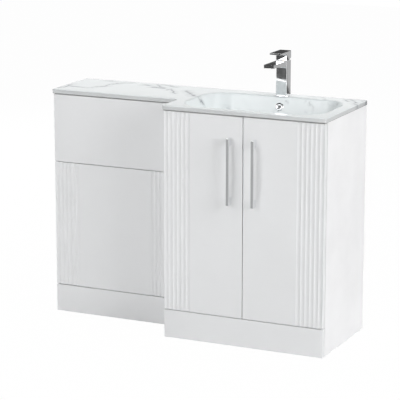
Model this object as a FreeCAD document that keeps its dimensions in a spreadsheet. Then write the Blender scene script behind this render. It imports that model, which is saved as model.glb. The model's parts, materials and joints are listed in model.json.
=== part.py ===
import FreeCAD, Part
import math
import os

import Sketcher
from FreeCAD import Placement, Rotation, Vector

# Vanity unit with a shallower back to wall cupboard on its left, both under one
# L-shaped cast basin top. Sizes are in millimetres.
# Places are given from the left front bottom corner of the vanity cupboard:
# x to the right, y from the door faces towards the wall, z up from the floor.
# The finished part stands on its origin, under the middle of its outline.

SIZES = {
    # the two cupboards
    "vanity_width": 600,
    "vanity_depth": 390,
    "wc_width": 508,
    "wc_depth": 258,
    "base_height": 815,
    "board": 18,
    "front_board": 18,
    "front_gap": 2,
    "seam": 2.5,
    "door_split": 3,
    "edge_inset": 0.5,
    "edge_break": 1,
    "plinth_height": 100,
    "rail_height": 60,
    "back_rail_height": 100,
    "front_rail_drop": 50,
    "shelf_height": 400,
    "shelf_depth": 250,
    "shelf_setback": 45,
    "shelf_play": 0.5,
    "shelf_pin_radius": 2.5,
    "shelf_pin_inset": 32,
    "shelf_pin_reach": 10,
    "panel_split": 564,
    "infill_width": 15,
    # grooves that run down the fronts
    "flute_count": 6,
    "flute_pitch": 16.5,
    "flute_land": 0.4,
    "flute_depth": 2.5,
    "flute_edge": 1,
    # bar handles
    "handle_offset": 46,
    "handle_low": 505,
    "handle_length": 234,
    "handle_reach": 28,
    "handle_width": 10,
    "handle_bar": 7,
    "handle_post": 26,
    "handle_round": 1.5,
    # concealed hinges
    "hinge_top_drop": 155,
    "hinge_bottom_rise": 105,
    "cup_radius": 17.5,
    "cup_inset": 22.5,
    "cup_depth": 11.5,
    "cup_wall": 1,
    "cup_flange": 1,
    "cup_flange_height": 52,
    "arm_pin_across": 40,
    "arm_pin_back": 4,
    "cup_pin_across": 9.3,
    "cup_pin_deep": 3.75,
    "cup_pin_length": 19,
    "pin_radius": 1.25,
    "link_height": 8,
    "link_eye": 2.5,
    "link_crank": 5,
    "link_thick": 2.5,
    "link_neck": 1.5,
    "link_rise": 4,
    "link_fall": 6,
    "link_bend": 12.7,
    "link_half_width": 2.25,
    "arm_height": 13,
    "arm_length": 72,
    "arm_tail": 6,
    "fork_wall": 0.8,
    "fork_play": 0.4,
    "plate_setback": 30,
    "plate_length": 34,
    "plate_height": 48,
    "plate_foot": 2,
    "plate_block": 9,
    # basin top
    "slab_thick": 17,
    "front_overhang": 6,
    "side_overhang": 4,
    "slab_corner": 12,
    "slab_edge": 3,
    "bowl_from_side": 38,
    "bowl_front": 22,
    "bowl_back": 330,
    "bowl_corner": 90,
    "bowl_depth": 108,
    "bowl_slope": 22,
    "bowl_wall": 8,
    "bowl_floor": 12,
    "bowl_rim": 8,
    "bowl_root": 25,
    "waste_from_back": 139,
    "waste_hole": 22,
    "dish_radius": 85,
    "dish_depth": 4,
    "overflow_drop": 36,
    "overflow_hole": 11,
    "overflow_bore": 6.5,
    "duct_width": 40,
    "duct_bore": 26,
    "duct_wall": 3.5,
    # overflow ring and click waste
    "ring_radius": 15.5,
    "ring_thick": 3,
    "flange_radius": 31.5,
    "flange_thick": 3,
    "waste_tube": 20.9,
    "waste_tail": 19.9,
    "waste_bore": 18.5,
    "waste_length": 78,
    "waste_slot": 6,
    "waste_bar_rise": 31,
    "socket_radius": 4.5,
    "socket_wall": 3,
    "socket_length": 23,
    "plug_radius": 29,
    "plug_thick": 3,
    "seal_thick": 3,
    "waste_nut": 30,
    "waste_nut_height": 9,
    # basin mixer
    "tap_hole": 17.5,
    "clamp_lap": 2.2,
    "tap_from_wall": 39,
    "column_width": 42,
    "column_depth": 40,
    "column_round": 5,
    "column_height": 127,
    "tap_foot_radius": 28.5,
    "tap_foot_thick": 3,
    "spout_width": 37,
    "spout_reach": 132,
    "spout_tip": 12,
    "spout_root": 22,
    "spout_root_run": 10,
    "spout_root_lift": 2,
    "spout_root_turn": 3,
    "lever_gap": 2,
    "lever_width": 43,
    "lever_length": 95,
    "lever_top": 160,
    "lever_plate": 6,
    "lever_lip": 3.6,
    "lever_heel_lift": 7,
    "lever_round": 3,
    "tilt_pin_drop": 4,
    "cartridge_radius": 16,
    "cartridge_length": 38,
    "core_radius": 9.5,
    "core_length": 16,
    "core_play": 0.1,
    "core_slot_reach": 7.6,
    "spindle_width": 6,
    "spindle_depth": 8,
    "spindle_play": 0.3,
    "spindle_socket": 16,
    "grub_rise": 9.6,
    "aerator_radius": 10.5,
    "aerator_depth": 8,
    "stud_radius": 4,
    "stud_drop": 50,
    "tap_nut": 7.6,
    "tap_nut_height": 12,
    "inlet_radius": 4.5,
    "inlet_offset": 8.5,
    "inlet_depth": 12,
    # small fittings
    "bracket_leg": 30,
    "bracket_thick": 2,
    "bracket_height": 25,
    "bracket_hole": 3,
    "clip_width": 14,
    "clip_bore": 4.2,
    "clip_peg": 4,
    "clip_reach": 14,
    "buffer_radius": 4,
    "buffer_thick": 1.7,
    "fit": 0.2,
}

doc = FreeCAD.newDocument("vanity_unit")
sheet = doc.addObject("Spreadsheet::Sheet", "Sizes")
for row, (alias, number) in enumerate(SIZES.items(), start=1):
    sheet.set(f"A{row}", alias.replace("_", " "))
    sheet.set(f"B{row}", str(number))
    sheet.setAlias(f"B{row}", alias)
doc.recompute()


class Size:
    """A length, angle or count: its number, and the sheet formula that gives it."""

    def __init__(self, number, formula):
        self.number = float(number)
        self.formula = formula

    def __add__(self, other):
        other = as_size(other)
        return Size(self.number + other.number, f"({self.formula} + {other.formula})")

    def __sub__(self, other):
        other = as_size(other)
        return Size(self.number - other.number, f"({self.formula} - {other.formula})")

    def __mul__(self, other):
        other = as_size(other)
        return Size(self.number * other.number, f"({self.formula} * {other.formula})")

    def __truediv__(self, other):
        other = as_size(other)
        return Size(self.number / other.number, f"({self.formula} / {other.formula})")

    def __radd__(self, other):
        return as_size(other) + self

    def __rsub__(self, other):
        return as_size(other) - self

    def __rmul__(self, other):
        return as_size(other) * self

    def __neg__(self):
        return as_size(0) - self


def as_size(value):
    """A plain number as a Size, and a Size as it is."""
    if isinstance(value, Size):
        return value
    return Size(value, repr(float(value)))


def tangent(angle):
    """The tangent of an angle in degrees."""
    return Size(math.tan(math.radians(angle.number)), f"tan({angle.formula} * 1 deg)")


def root(value):
    """The square root of a size."""
    return Size(math.sqrt(value.number), f"sqrt({value.formula})")


class Sheet:
    """Every size of the sheet under its own name."""


s = Sheet()
for alias in SIZES:
    setattr(s, alias, Size(sheet.get(alias), f"Sizes.{alias}"))

# Places that more than one piece shares.
mid_x = (s.vanity_width - s.wc_width) / 2
mid_y = (s.vanity_depth - s.handle_reach) / 2
carcass_y = s.front_board + s.front_gap
wc_y = s.vanity_depth - s.wc_depth
wc_carcass_y = wc_y + carcass_y
front_low = s.plinth_height + s.seam
front_high = s.base_height - s.seam
half_seam = s.seam / 2
back_rail_y = s.vanity_depth - s.board
back_rail_z = s.base_height - s.back_rail_height
slab_top = s.base_height + s.slab_thick
door_width = (s.vanity_width - s.door_split) / 2 - s.edge_inset
hinge_heights = (front_low + s.hinge_bottom_rise, front_high - s.hinge_top_drop)
bowl_mid_y = (s.bowl_front + s.bowl_back) / 2
bowl_width = s.bowl_back - s.bowl_front
bowl_length = s.vanity_width - s.bowl_from_side * 2
waste_y = s.bowl_back - s.waste_from_back
waste_z = slab_top - s.bowl_depth - s.dish_depth
tap_y = s.vanity_depth - s.tap_from_wall
tap_top = slab_top + s.column_height

kept = []


def bind(thing, prop, value):
    """Tie a property to the sheet."""
    thing.setExpression(prop, as_size(value).formula)


def place(piece, x, y, z):
    """Put a piece at a place given from the vanity's corner."""
    bind(piece, "Placement.Base.x", as_size(x) - mid_x)
    bind(piece, "Placement.Base.y", as_size(y) - mid_y)
    bind(piece, "Placement.Base.z", z)


def keep(piece, name):
    """Mark a finished sub-part, whose label names its file."""
    piece.Label = name
    kept.append(piece)
    return piece


def box(name, x, y, z):
    """A block that runs between two places on each axis."""
    piece = doc.addObject("Part::Box", name)
    for prop, span in (("Length", x), ("Width", y), ("Height", z)):
        bind(piece, prop, as_size(span[1]) - as_size(span[0]))
    place(piece, x[0], y[0], z[0])
    return piece


def cylinder(name, centre, radius, length, axis=Vector(0, 0, 1)):
    """A round bar that starts at its centre point and runs along an axis."""
    piece = doc.addObject("Part::Cylinder", name)
    piece.Placement = Placement(Vector(), Rotation(Vector(0, 0, 1), axis))
    bind(piece, "Radius", radius)
    bind(piece, "Height", length)
    place(piece, *centre)
    return piece


def cut(name, base, tools):
    """A piece with others taken away from it."""
    tool = tools[0]
    if len(tools) > 1:
        tool = doc.addObject("Part::MultiFuse", f"{name}_tools")
        tool.Shapes = tools
    piece = doc.addObject("Part::Cut", name)
    piece.Base = base
    piece.Tool = tool
    return piece


def fuse(name, pieces):
    """Several shapes joined into one solid."""
    piece = doc.addObject("Part::MultiFuse", name)
    piece.Shapes = pieces
    return piece


def group(name, pieces):
    """Like pieces that share one node, each still a solid of its own."""
    bundle = doc.addObject("Part::Compound", name)
    bundle.Links = pieces
    return keep(bundle, name)


def tube(name, centre, outer, inner, length, axis=Vector(0, 0, 1)):
    """A round bar with a bore right through it."""
    bar = cylinder(f"{name}_bar", centre, outer, length, axis)
    bore = cylinder(f"{name}_bore", centre, inner, length, axis)
    return cut(name, bar, [bore])


def new_body(name):
    """An empty body to be built up from sketches."""
    return doc.addObject("PartDesign::Body", name)


def sketch_on(body, role, offset=(0, 0, 0), turn=None):
    """A sketch on one of the body's own planes, moved along it and off it."""
    sketch = body.newObject("Sketcher::SketchObject", f"{body.Name}_sketch")
    plane = next(item for item in body.Origin.OriginFeatures if item.Role == role)
    sketch.AttachmentSupport = [(plane, "")]
    sketch.MapMode = "FlatFace"
    if turn is not None:
        sketch.AttachmentOffset = Placement(Vector(), Rotation(Vector(1, 0, 0), turn.number))
        bind(sketch, "AttachmentOffset.Rotation.Angle", turn)
    for axis, value in zip("xyz", offset):
        bind(sketch, f"AttachmentOffset.Base.{axis}", value)
    return sketch


def hold(sketch, item, point, x, y):
    """Hold a point of a sketch at two sizes measured from the sketch's origin."""
    for kind, axis, value in (("DistanceX", -2, as_size(x)), ("DistanceY", -1, as_size(y))):
        if abs(value.number) < 1e-9:
            sketch.addConstraint(Sketcher.Constraint("PointOnObject", item, point, axis))
        elif value.number > 0:
            index = sketch.addConstraint(
                Sketcher.Constraint(kind, -1, 1, item, point, value.number))
            bind(sketch, f"Constraints[{index}]", value)
        else:
            index = sketch.addConstraint(
                Sketcher.Constraint(kind, item, point, -1, 1, -value.number))
            bind(sketch, f"Constraints[{index}]", -value)


def outline(sketch, points):
    """A closed outline of straight lines through held points."""
    points = [(as_size(x), as_size(y)) for x, y in points]
    first = sketch.GeometryCount
    count = len(points)
    for k in range(count):
        start, end = points[k], points[(k + 1) % count]
        line = Part.LineSegment(Vector(start[0].number, start[1].number, 0),
                                Vector(end[0].number, end[1].number, 0))
        sketch.addGeometry(line)
    for k in range(count):
        follower = first + (k + 1) % count
        sketch.addConstraint(Sketcher.Constraint("Coincident", first + k, 2, follower, 1))
    for k, (x, y) in enumerate(points):
        hold(sketch, first + k, 1, x, y)


def rectangle(sketch, x, y):
    """A rectangle between two places on each of the sketch's axes."""
    outline(sketch, [(x[0], y[0]), (x[1], y[0]), (x[1], y[1]), (x[0], y[1])])


def circle(sketch, x, y, radius):
    """A circle held by its centre and radius."""
    radius = as_size(radius)
    middle = Vector(as_size(x).number, as_size(y).number, 0)
    item = sketch.addGeometry(Part.Circle(middle, Vector(0, 0, 1), radius.number))
    index = sketch.addConstraint(Sketcher.Constraint("Radius", item, radius.number))
    bind(sketch, f"Constraints[{index}]", radius)
    hold(sketch, item, 3, x, y)


def round_rectangle(sketch, half_x, half_y, corner):
    """A rectangle about the sketch's origin with four round corners."""
    reach_x = (half_x - corner).number
    reach_y = (half_y - corner).number
    radius = corner.number
    up = Vector(0, 0, 1)
    quarters = ((1, 1, 0), (-1, 1, 1), (-1, -1, 2), (1, -1, 3))
    for sign_x, sign_y, turn in quarters:
        middle = Part.Circle(Vector(sign_x * reach_x, sign_y * reach_y, 0), up, radius)
        sketch.addGeometry(
            Part.ArcOfCircle(middle, turn * math.pi / 2, (turn + 1) * math.pi / 2))
    for k in range(4):
        start = sketch.getPoint(k, 2)
        end = sketch.getPoint((k + 1) % 4, 1)
        sketch.addGeometry(Part.LineSegment(start, end))
    for k in range(4):
        sketch.addConstraint(Sketcher.Constraint("Tangent", k, 2, 4 + k, 1))
        sketch.addConstraint(Sketcher.Constraint("Tangent", 4 + k, 2, (k + 1) % 4, 1))
    for k, (sign_x, sign_y, turn) in enumerate(quarters):
        hold(sketch, k, 3, (half_x - corner) * sign_x, (half_y - corner) * sign_y)
        index = sketch.addConstraint(Sketcher.Constraint("Radius", k, radius))
        bind(sketch, f"Constraints[{index}]", corner)


def pad(body, sketch, length, reverse=False, both_sides=False, taper=None):
    """Material raised from a sketch."""
    feature = body.newObject("PartDesign::Pad", f"{body.Name}_pad")
    feature.Profile = sketch
    feature.Reversed = reverse
    if both_sides:
        feature.SideType = "Symmetric"
    bind(feature, "Length", length)
    if taper is not None:
        bind(feature, "TaperAngle", taper)
    return feature


def pocket(body, sketch, length, reverse=False, both_sides=False, taper=None):
    """Material taken away along a sketch."""
    feature = body.newObject("PartDesign::Pocket", f"{body.Name}_pocket")
    feature.Profile = sketch
    feature.Reversed = reverse
    if both_sides:
        feature.SideType = "Symmetric"
    bind(feature, "Length", length)
    if taper is not None:
        bind(feature, "TaperAngle", taper)
    return feature


def edge_names(feature, test):
    """The names of those edges of a feature that pass a test."""
    doc.recompute()
    edges = enumerate(feature.Shape.Edges, start=1)
    return [f"Edge{k}" for k, edge in edges if test(edge)]


def round_edges(body, feature, test, radius):
    """Round those edges of a body that pass a test."""
    rounding = body.newObject("PartDesign::Fillet", f"{body.Name}_round")
    rounding.Base = (feature, edge_names(feature, test))
    bind(rounding, "Radius", radius)
    return rounding


def break_edges(body, feature, test, width):
    """Take the sharpness off those edges of a body that pass a test."""
    bevel = body.newObject("PartDesign::Chamfer", f"{body.Name}_bevel")
    bevel.Base = (feature, edge_names(feature, test))
    bind(bevel, "Size", width)
    return bevel


def any_edge(edge):
    """Every edge of a plain block."""
    return True


def runs_along(edge, axis):
    """Whether an edge is a straight line along an axis."""
    if edge.Curve.TypeId != "Part::GeomLine":
        return False
    run = edge.Vertexes[1].Point - edge.Vertexes[0].Point
    return abs(run.normalize().dot(axis)) > 0.999


def at_height(edge, z):
    """Whether an edge lies level at a height in its body."""
    room = edge.BoundBox
    return abs(room.ZMin - z.number) < 0.01 and abs(room.ZMax - z.number) < 0.01


def revolved(name, centre, profile, tilt=None):
    """A turned piece: a closed outline of radius and height spun about its axis."""
    body = new_body(name)
    sketch = sketch_on(body, "XZ_Plane")
    outline(sketch, profile)
    turning = body.newObject("PartDesign::Revolution", f"{name}_turned")
    turning.Profile = sketch
    turning.ReferenceAxis = (sketch, ["V_Axis"])
    turning.Angle = 360
    if tilt is not None:
        body.Placement = Placement(Vector(), Rotation(Vector(1, 0, 0), tilt.number))
        bind(body, "Placement.Rotation.Angle", tilt)
    place(body, *centre)
    return body


# Carcass boards

def side_board(name, x, front, pin_side=None):
    """A side board, with a row of shelf pin holes in one face where a shelf stands."""
    body = new_body(name)
    sketch = sketch_on(body, "YZ_Plane")
    rectangle(sketch, (0, s.vanity_depth - front), (0, s.base_height))
    pad(body, sketch, s.board)
    if pin_side is not None:
        row = sketch_on(body, "YZ_Plane", (0, 0, s.board if pin_side == "right" else 0))
        for y in shelf_pin_places():
            circle(row, y - front, shelf_pin_z(), s.shelf_pin_radius + s.fit / 2)
        pocket(body, row, s.shelf_pin_reach + s.fit, reverse=pin_side == "left")
    place(body, x, front, 0)
    return keep(body, name)


def shelf_pin_places():
    """How far back the front and rear shelf pins stand."""
    front = carcass_y + s.shelf_setback
    return (front + s.shelf_pin_inset, front + s.shelf_depth - s.shelf_pin_inset)


def shelf_pin_z():
    """The height of the shelf pins' middles."""
    return s.shelf_height - s.shelf_pin_radius


def build_carcass():
    """The boards of both cupboards."""
    inner = (s.board, s.vanity_width - s.board)
    side_board("vanity_left_side", 0, carcass_y, "right")
    side_board("vanity_right_side", s.vanity_width - s.board, carcass_y, "left")
    floor = (s.plinth_height, s.plinth_height + s.board)
    keep(box("vanity_base_panel", inner, (carcass_y, s.vanity_depth), floor),
         "vanity_base_panel")
    rail_top = s.base_height - s.front_rail_drop
    keep(box("vanity_front_rail", inner, (carcass_y, carcass_y + s.board),
             (rail_top - s.rail_height, rail_top)), "vanity_front_rail")
    keep(box("vanity_back_rail", inner, (back_rail_y, s.vanity_depth),
             (back_rail_z, s.base_height)), "vanity_back_rail")
    keep(box("vanity_lower_back_rail", inner, (back_rail_y, s.vanity_depth),
             (floor[1], floor[1] + s.back_rail_height)), "vanity_lower_back_rail")
    shelf_front = carcass_y + s.shelf_setback
    keep(box("vanity_shelf", (inner[0] + s.shelf_play, inner[1] - s.shelf_play),
             (shelf_front, shelf_front + s.shelf_depth),
             (s.shelf_height, s.shelf_height + s.board)), "vanity_shelf")
    wc_inner = (s.board - s.wc_width, -s.board)
    side_board("wc_left_side", -s.wc_width, wc_carcass_y)
    side_board("wc_right_side", -s.board, wc_carcass_y)
    rail_y = (wc_carcass_y, wc_carcass_y + s.board)
    wc_rail("wc_top_rail", wc_inner, rail_y, s.base_height - s.rail_height, clip_heights()[1])
    wc_rail("wc_middle_rail", wc_inner, rail_y, s.panel_split - s.rail_height / 2,
            clip_heights()[0])
    wc_rail("wc_bottom_rail", wc_inner, rail_y, s.plinth_height, None)
    keep(box("wc_back_rail", wc_inner, (back_rail_y, s.vanity_depth),
             (back_rail_z, s.base_height)), "wc_back_rail")


def clip_heights():
    """How high the lower and upper pairs of panel clips sit."""
    return (s.panel_split + s.rail_height / 4, s.base_height - s.rail_height / 2)


def clip_places():
    """How far across the two columns of panel clips sit."""
    return (s.bracket_leg * 2 - s.wc_width, -s.bracket_leg * 2)


def clip_block(name, across, z):
    """The square block of a panel clip's socket, as thick as the rail it sits in."""
    half = s.clip_width / 2
    return box(name, (across - half, across + half), (wc_carcass_y, wc_carcass_y + s.board),
               (z - half, z + half))


def wc_rail(name, x, y, low, clip_z):
    """A front rail, with a mortice for each panel clip that it carries."""
    board = box(f"{name}_board", x, y, (low, low + s.rail_height))
    if clip_z is None:
        board.Label = f"{name} board"
        return keep(board, name)
    mortices = [clip_block(f"{name}_mortice", across, clip_z) for across in clip_places()]
    return keep(cut(name, board, mortices), name)


# Fronts

def front_panel(name, x, y, z):
    """A wrapped front board with broken edges, still open to more cuts."""
    body = new_body(name)
    sketch = sketch_on(body, "XY_Plane")
    rectangle(sketch, (0, as_size(x[1]) - x[0]), (0, s.front_board))
    feature = pad(body, sketch, z[1] - z[0])
    break_edges(body, feature, any_edge, s.edge_break)
    place(body, x[0], y, z[0])
    return body


def flutes(body, start, height):
    """A band of shallow hollow grooves side by side down the face of a front."""
    chord = s.flute_pitch - s.flute_land
    radius = (chord * chord / 4 + s.flute_depth * s.flute_depth) / (s.flute_depth * 2)
    sketch = sketch_on(body, "XY_Plane")
    circle(sketch, start + s.flute_pitch / 2, s.flute_depth - radius, radius)
    groove = pocket(body, sketch, height, reverse=True)
    row = body.newObject("PartDesign::LinearPattern", f"{body.Name}_flutes")
    row.Originals = [groove]
    row.Direction = (sketch, ["H_Axis"])
    bind(row, "Occurrences", s.flute_count)
    bind(row, "Length", s.flute_pitch * (s.flute_count - 1))
    body.Tip = row
    return row


def door(name, left, low, high, hinge_left):
    """A door with its flutes by the hinged edge and two bores for the hinge cups."""
    body = front_panel(name, (left, left + door_width), 0, (low, high))
    band = s.flute_pitch * s.flute_count
    start = s.flute_edge if hinge_left else door_width - s.flute_edge - band
    flutes(body, start, high - low)
    cups = sketch_on(body, "XZ_Plane", (0, 0, -s.front_board))
    cup_x = s.cup_inset if hinge_left else door_width - s.cup_inset
    for height in hinge_heights:
        circle(cups, cup_x, height - low, s.cup_radius)
    pocket(body, cups, s.cup_depth + s.fit, reverse=True)
    return keep(body, name)


def handle_x(hinge_left):
    """How far across a door's handle stands."""
    middle = s.vanity_width / 2
    return middle - s.handle_offset if hinge_left else middle + s.handle_offset


def build_fronts():
    """Doors, plinths and the cupboard panels."""
    middle = s.vanity_width / 2
    door("left_door", s.edge_inset, front_low, front_high, True)
    door("right_door", middle + s.door_split / 2, front_low, front_high, False)
    keep(front_panel("vanity_plinth", (0, s.vanity_width), 0, (0, s.plinth_height)),
         "vanity_plinth")
    panel_x = (s.edge_inset - s.wc_width, -s.infill_width - s.edge_inset)
    lower = front_panel("wc_lower_panel", panel_x, wc_y, (front_low, s.panel_split - half_seam))
    height = s.panel_split - half_seam - front_low
    band = s.flute_pitch * s.flute_count
    flutes(lower, s.flute_edge, height)
    flutes(lower, panel_x[1] - panel_x[0] - s.flute_edge - band, height)
    keep(lower, "wc_lower_panel")
    keep(front_panel("wc_upper_panel", panel_x, wc_y, (s.panel_split + half_seam, front_high)),
         "wc_upper_panel")
    keep(front_panel("wc_plinth", (-s.wc_width, -s.edge_inset), wc_y, (0, s.plinth_height)),
         "wc_plinth")
    keep(front_panel("wc_infill_strip", (-s.infill_width, -s.edge_inset), wc_y,
                     (front_low, front_high)), "wc_infill_strip")


# Handles

def handle(name, hinge_left):
    """A square bar handle: one bar on two deep end posts."""
    body = new_body(name)
    sketch = sketch_on(body, "YZ_Plane")
    reach, bar, post, length = s.handle_reach, s.handle_bar, s.handle_post, s.handle_length
    outline(sketch, [(0, 0), (-reach, 0), (-reach, length), (0, length),
                     (0, length - post), (bar - reach, length - post),
                     (bar - reach, post), (0, post)])
    feature = pad(body, sketch, s.handle_width, both_sides=True)

    def inner_corner(edge):
        inside = abs(edge.BoundBox.YMin - (bar - reach).number) < 0.01
        return runs_along(edge, Vector(1, 0, 0)) and inside

    hollow = round_edges(body, feature, inner_corner, bar)

    def outer_corner(edge):
        return abs(edge.BoundBox.YMax + reach.number) < 0.01

    round_edges(body, hollow, outer_corner, s.handle_round)
    place(body, handle_x(hinge_left), 0, s.handle_low)
    return keep(body, name)


# Concealed hinges

def across_side(hinge_left, reach):
    """A place measured inwards from the outer face of the side that carries the hinge."""
    return as_size(reach) if hinge_left else s.vanity_width - reach


def plan_piece(name, hinge_left, points, low, height):
    """A plate whose plan is given inwards from the side and forwards from its front edge."""
    body = new_body(name)
    sketch = sketch_on(body, "XY_Plane")
    sign = 1 if hinge_left else -1
    outline(sketch, [(as_size(across) * sign, -as_size(ahead)) for across, ahead in points])
    pad(body, sketch, height)
    place(body, across_side(hinge_left, 0), carcass_y, low)
    return body


def hinge_cup(name, hinge_left, height):
    """A round cup let into the door, with a flat flange and the pin across its mouth."""
    x = across_side(hinge_left, s.edge_inset + s.cup_inset)
    back = s.front_board
    axis = Vector(0, -1, 0)
    shell = cylinder(f"{name}_shell", (x, back, height), s.cup_radius - s.fit / 2, s.cup_depth, axis)
    half = s.cup_flange_height / 2
    flange = box(f"{name}_flange", (x - s.cup_radius, x + s.cup_radius),
                 (back, back + s.cup_flange), (height - half, height + half))
    solid = fuse(f"{name}_solid", [shell, flange])
    room = cylinder(f"{name}_room", (x, back + s.cup_flange, height), s.cup_radius - s.cup_wall,
                    s.cup_flange + s.cup_depth - s.cup_wall, axis)
    cup = cut(f"{name}_hollow", solid, [room])
    pin = hinge_pin(f"{name}_pin", hinge_left, cup_pin(), height, s.cup_pin_length)
    return fuse(name, [cup, pin])


def arm_pin():
    """Plan place of the pin in the arm."""
    return (s.arm_pin_across, -s.arm_pin_back)


def cup_pin():
    """Plan place of the pin in the cup while the door is shut."""
    return (s.edge_inset + s.cup_pin_across, s.front_gap + s.cup_pin_deep)


def hinge_pin(name, hinge_left, spot, height, length):
    """A steel pin that stands upright through a link's eye."""
    x = across_side(hinge_left, spot[0])
    return cylinder(name, (x, carcass_y - spot[1], height - length / 2), s.pin_radius, length)


def hinge_link(name, hinge_left, height):
    """The link between the arm and the cup, cranked to pass over the cup's rim."""
    start, end = cup_pin(), arm_pin()
    run_x, run_y = end[0] - start[0], end[1] - start[1]
    reach = root(run_x * run_x + run_y * run_y)

    def spot(along, aside):
        """A place along the line from the cup's pin to the arm's, and to its front."""
        return (start[0] + (run_x * along - run_y * aside) / reach,
                start[1] + (run_y * along + run_x * aside) / reach)

    low = height - s.link_height / 2
    neck, crank, half = s.link_neck, s.link_crank, s.link_half_width
    under = crank - s.link_thick
    web = plan_piece(f"{name}_web", hinge_left,
                     [spot(neck, 0), spot(s.link_rise, under), spot(s.link_fall, under),
                      spot(s.link_bend, 0), spot(reach, -half), spot(reach, half),
                      spot(s.link_fall + s.pin_radius, crank), spot(neck * 2, crank),
                      spot(-neck, neck)],
                     low, s.link_height)
    eyes = [cylinder(f"{name}_eye", (across_side(hinge_left, x), carcass_y - y, low),
                     s.link_eye, s.link_height) for x, y in (start, end)]
    solid = fuse(f"{name}_solid", [web] + eyes)
    bores = [hinge_pin(f"{name}_bore", hinge_left, pin, height, s.link_height)
             for pin in (start, end)]
    for bore in bores:
        bind(bore, "Radius", s.pin_radius + s.fit / 2)
    return cut(name, solid, bores)


def hinge_arm(name, hinge_left, height):
    """The arm on the mounting plate, forked at its tip round the link."""
    pin_x, pin_y = arm_pin()
    foot = s.board + s.plate_block
    tip = s.link_eye + s.fork_wall
    points = [(foot, pin_y - s.arm_length), (foot + s.arm_tail, pin_y - s.arm_length),
              (pin_x + tip, pin_y - tip * 2), (pin_x + tip, pin_y + tip),
              (pin_x - tip, pin_y + tip), (foot, pin_y - s.plate_setback / 2)]
    low = height - s.arm_height / 2
    arm = plan_piece(f"{name}_solid", hinge_left, points, low, s.arm_height)
    room = s.link_eye + s.fork_play
    slot_height = s.link_height + s.fit * 2
    slot = plan_piece(f"{name}_slot", hinge_left,
                      [(s.board, pin_y - room), (pin_x + room, pin_y - room),
                       (pin_x + room, pin_y + tip * 2), (s.board, pin_y + tip * 2)],
                      height - slot_height / 2, slot_height)
    forked = cut(f"{name}_forked", arm, [slot])
    pin = hinge_pin(f"{name}_pin", hinge_left, (pin_x, pin_y), height, s.arm_height)
    return fuse(name, [forked, pin])


def hinge_plate(name, hinge_left, height):
    """The mounting plate: a wide foot on the side board and a block under the arm."""
    back = s.plate_setback + s.plate_length
    foot_low = height - s.plate_height / 2
    block_low = height - s.arm_height / 2
    pieces = []
    for word, thick, low, tall in (("foot", s.plate_foot, foot_low, s.plate_height),
                                   ("block", s.plate_block, block_low, s.arm_height)):
        plan = [(s.board, -back), (s.board, -s.plate_setback),
                (s.board + thick, -s.plate_setback), (s.board + thick, -back)]
        pieces.append(plan_piece(f"{name}_{word}", hinge_left, plan, low, tall))
    return fuse(name, pieces)


def build_hinges():
    """Two hinges for each door, their like pieces in one node."""
    makers = (("cups", hinge_cup), ("links", hinge_link), ("arms", hinge_arm),
              ("plates", hinge_plate))
    for hinge_left in (True, False):
        door_side = "left" if hinge_left else "right"
        for word, maker in makers:
            name = f"{door_side}_hinge_{word}"
            pieces = [maker(f"{name}_{k}", hinge_left, height)
                      for k, height in enumerate(hinge_heights, start=1)]
            group(name, pieces)


# Basin top

def bowl_inset(depth):
    """How far the bowl's wall has come inwards at a depth below the slab's top."""
    return tangent(s.bowl_slope) * depth


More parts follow.
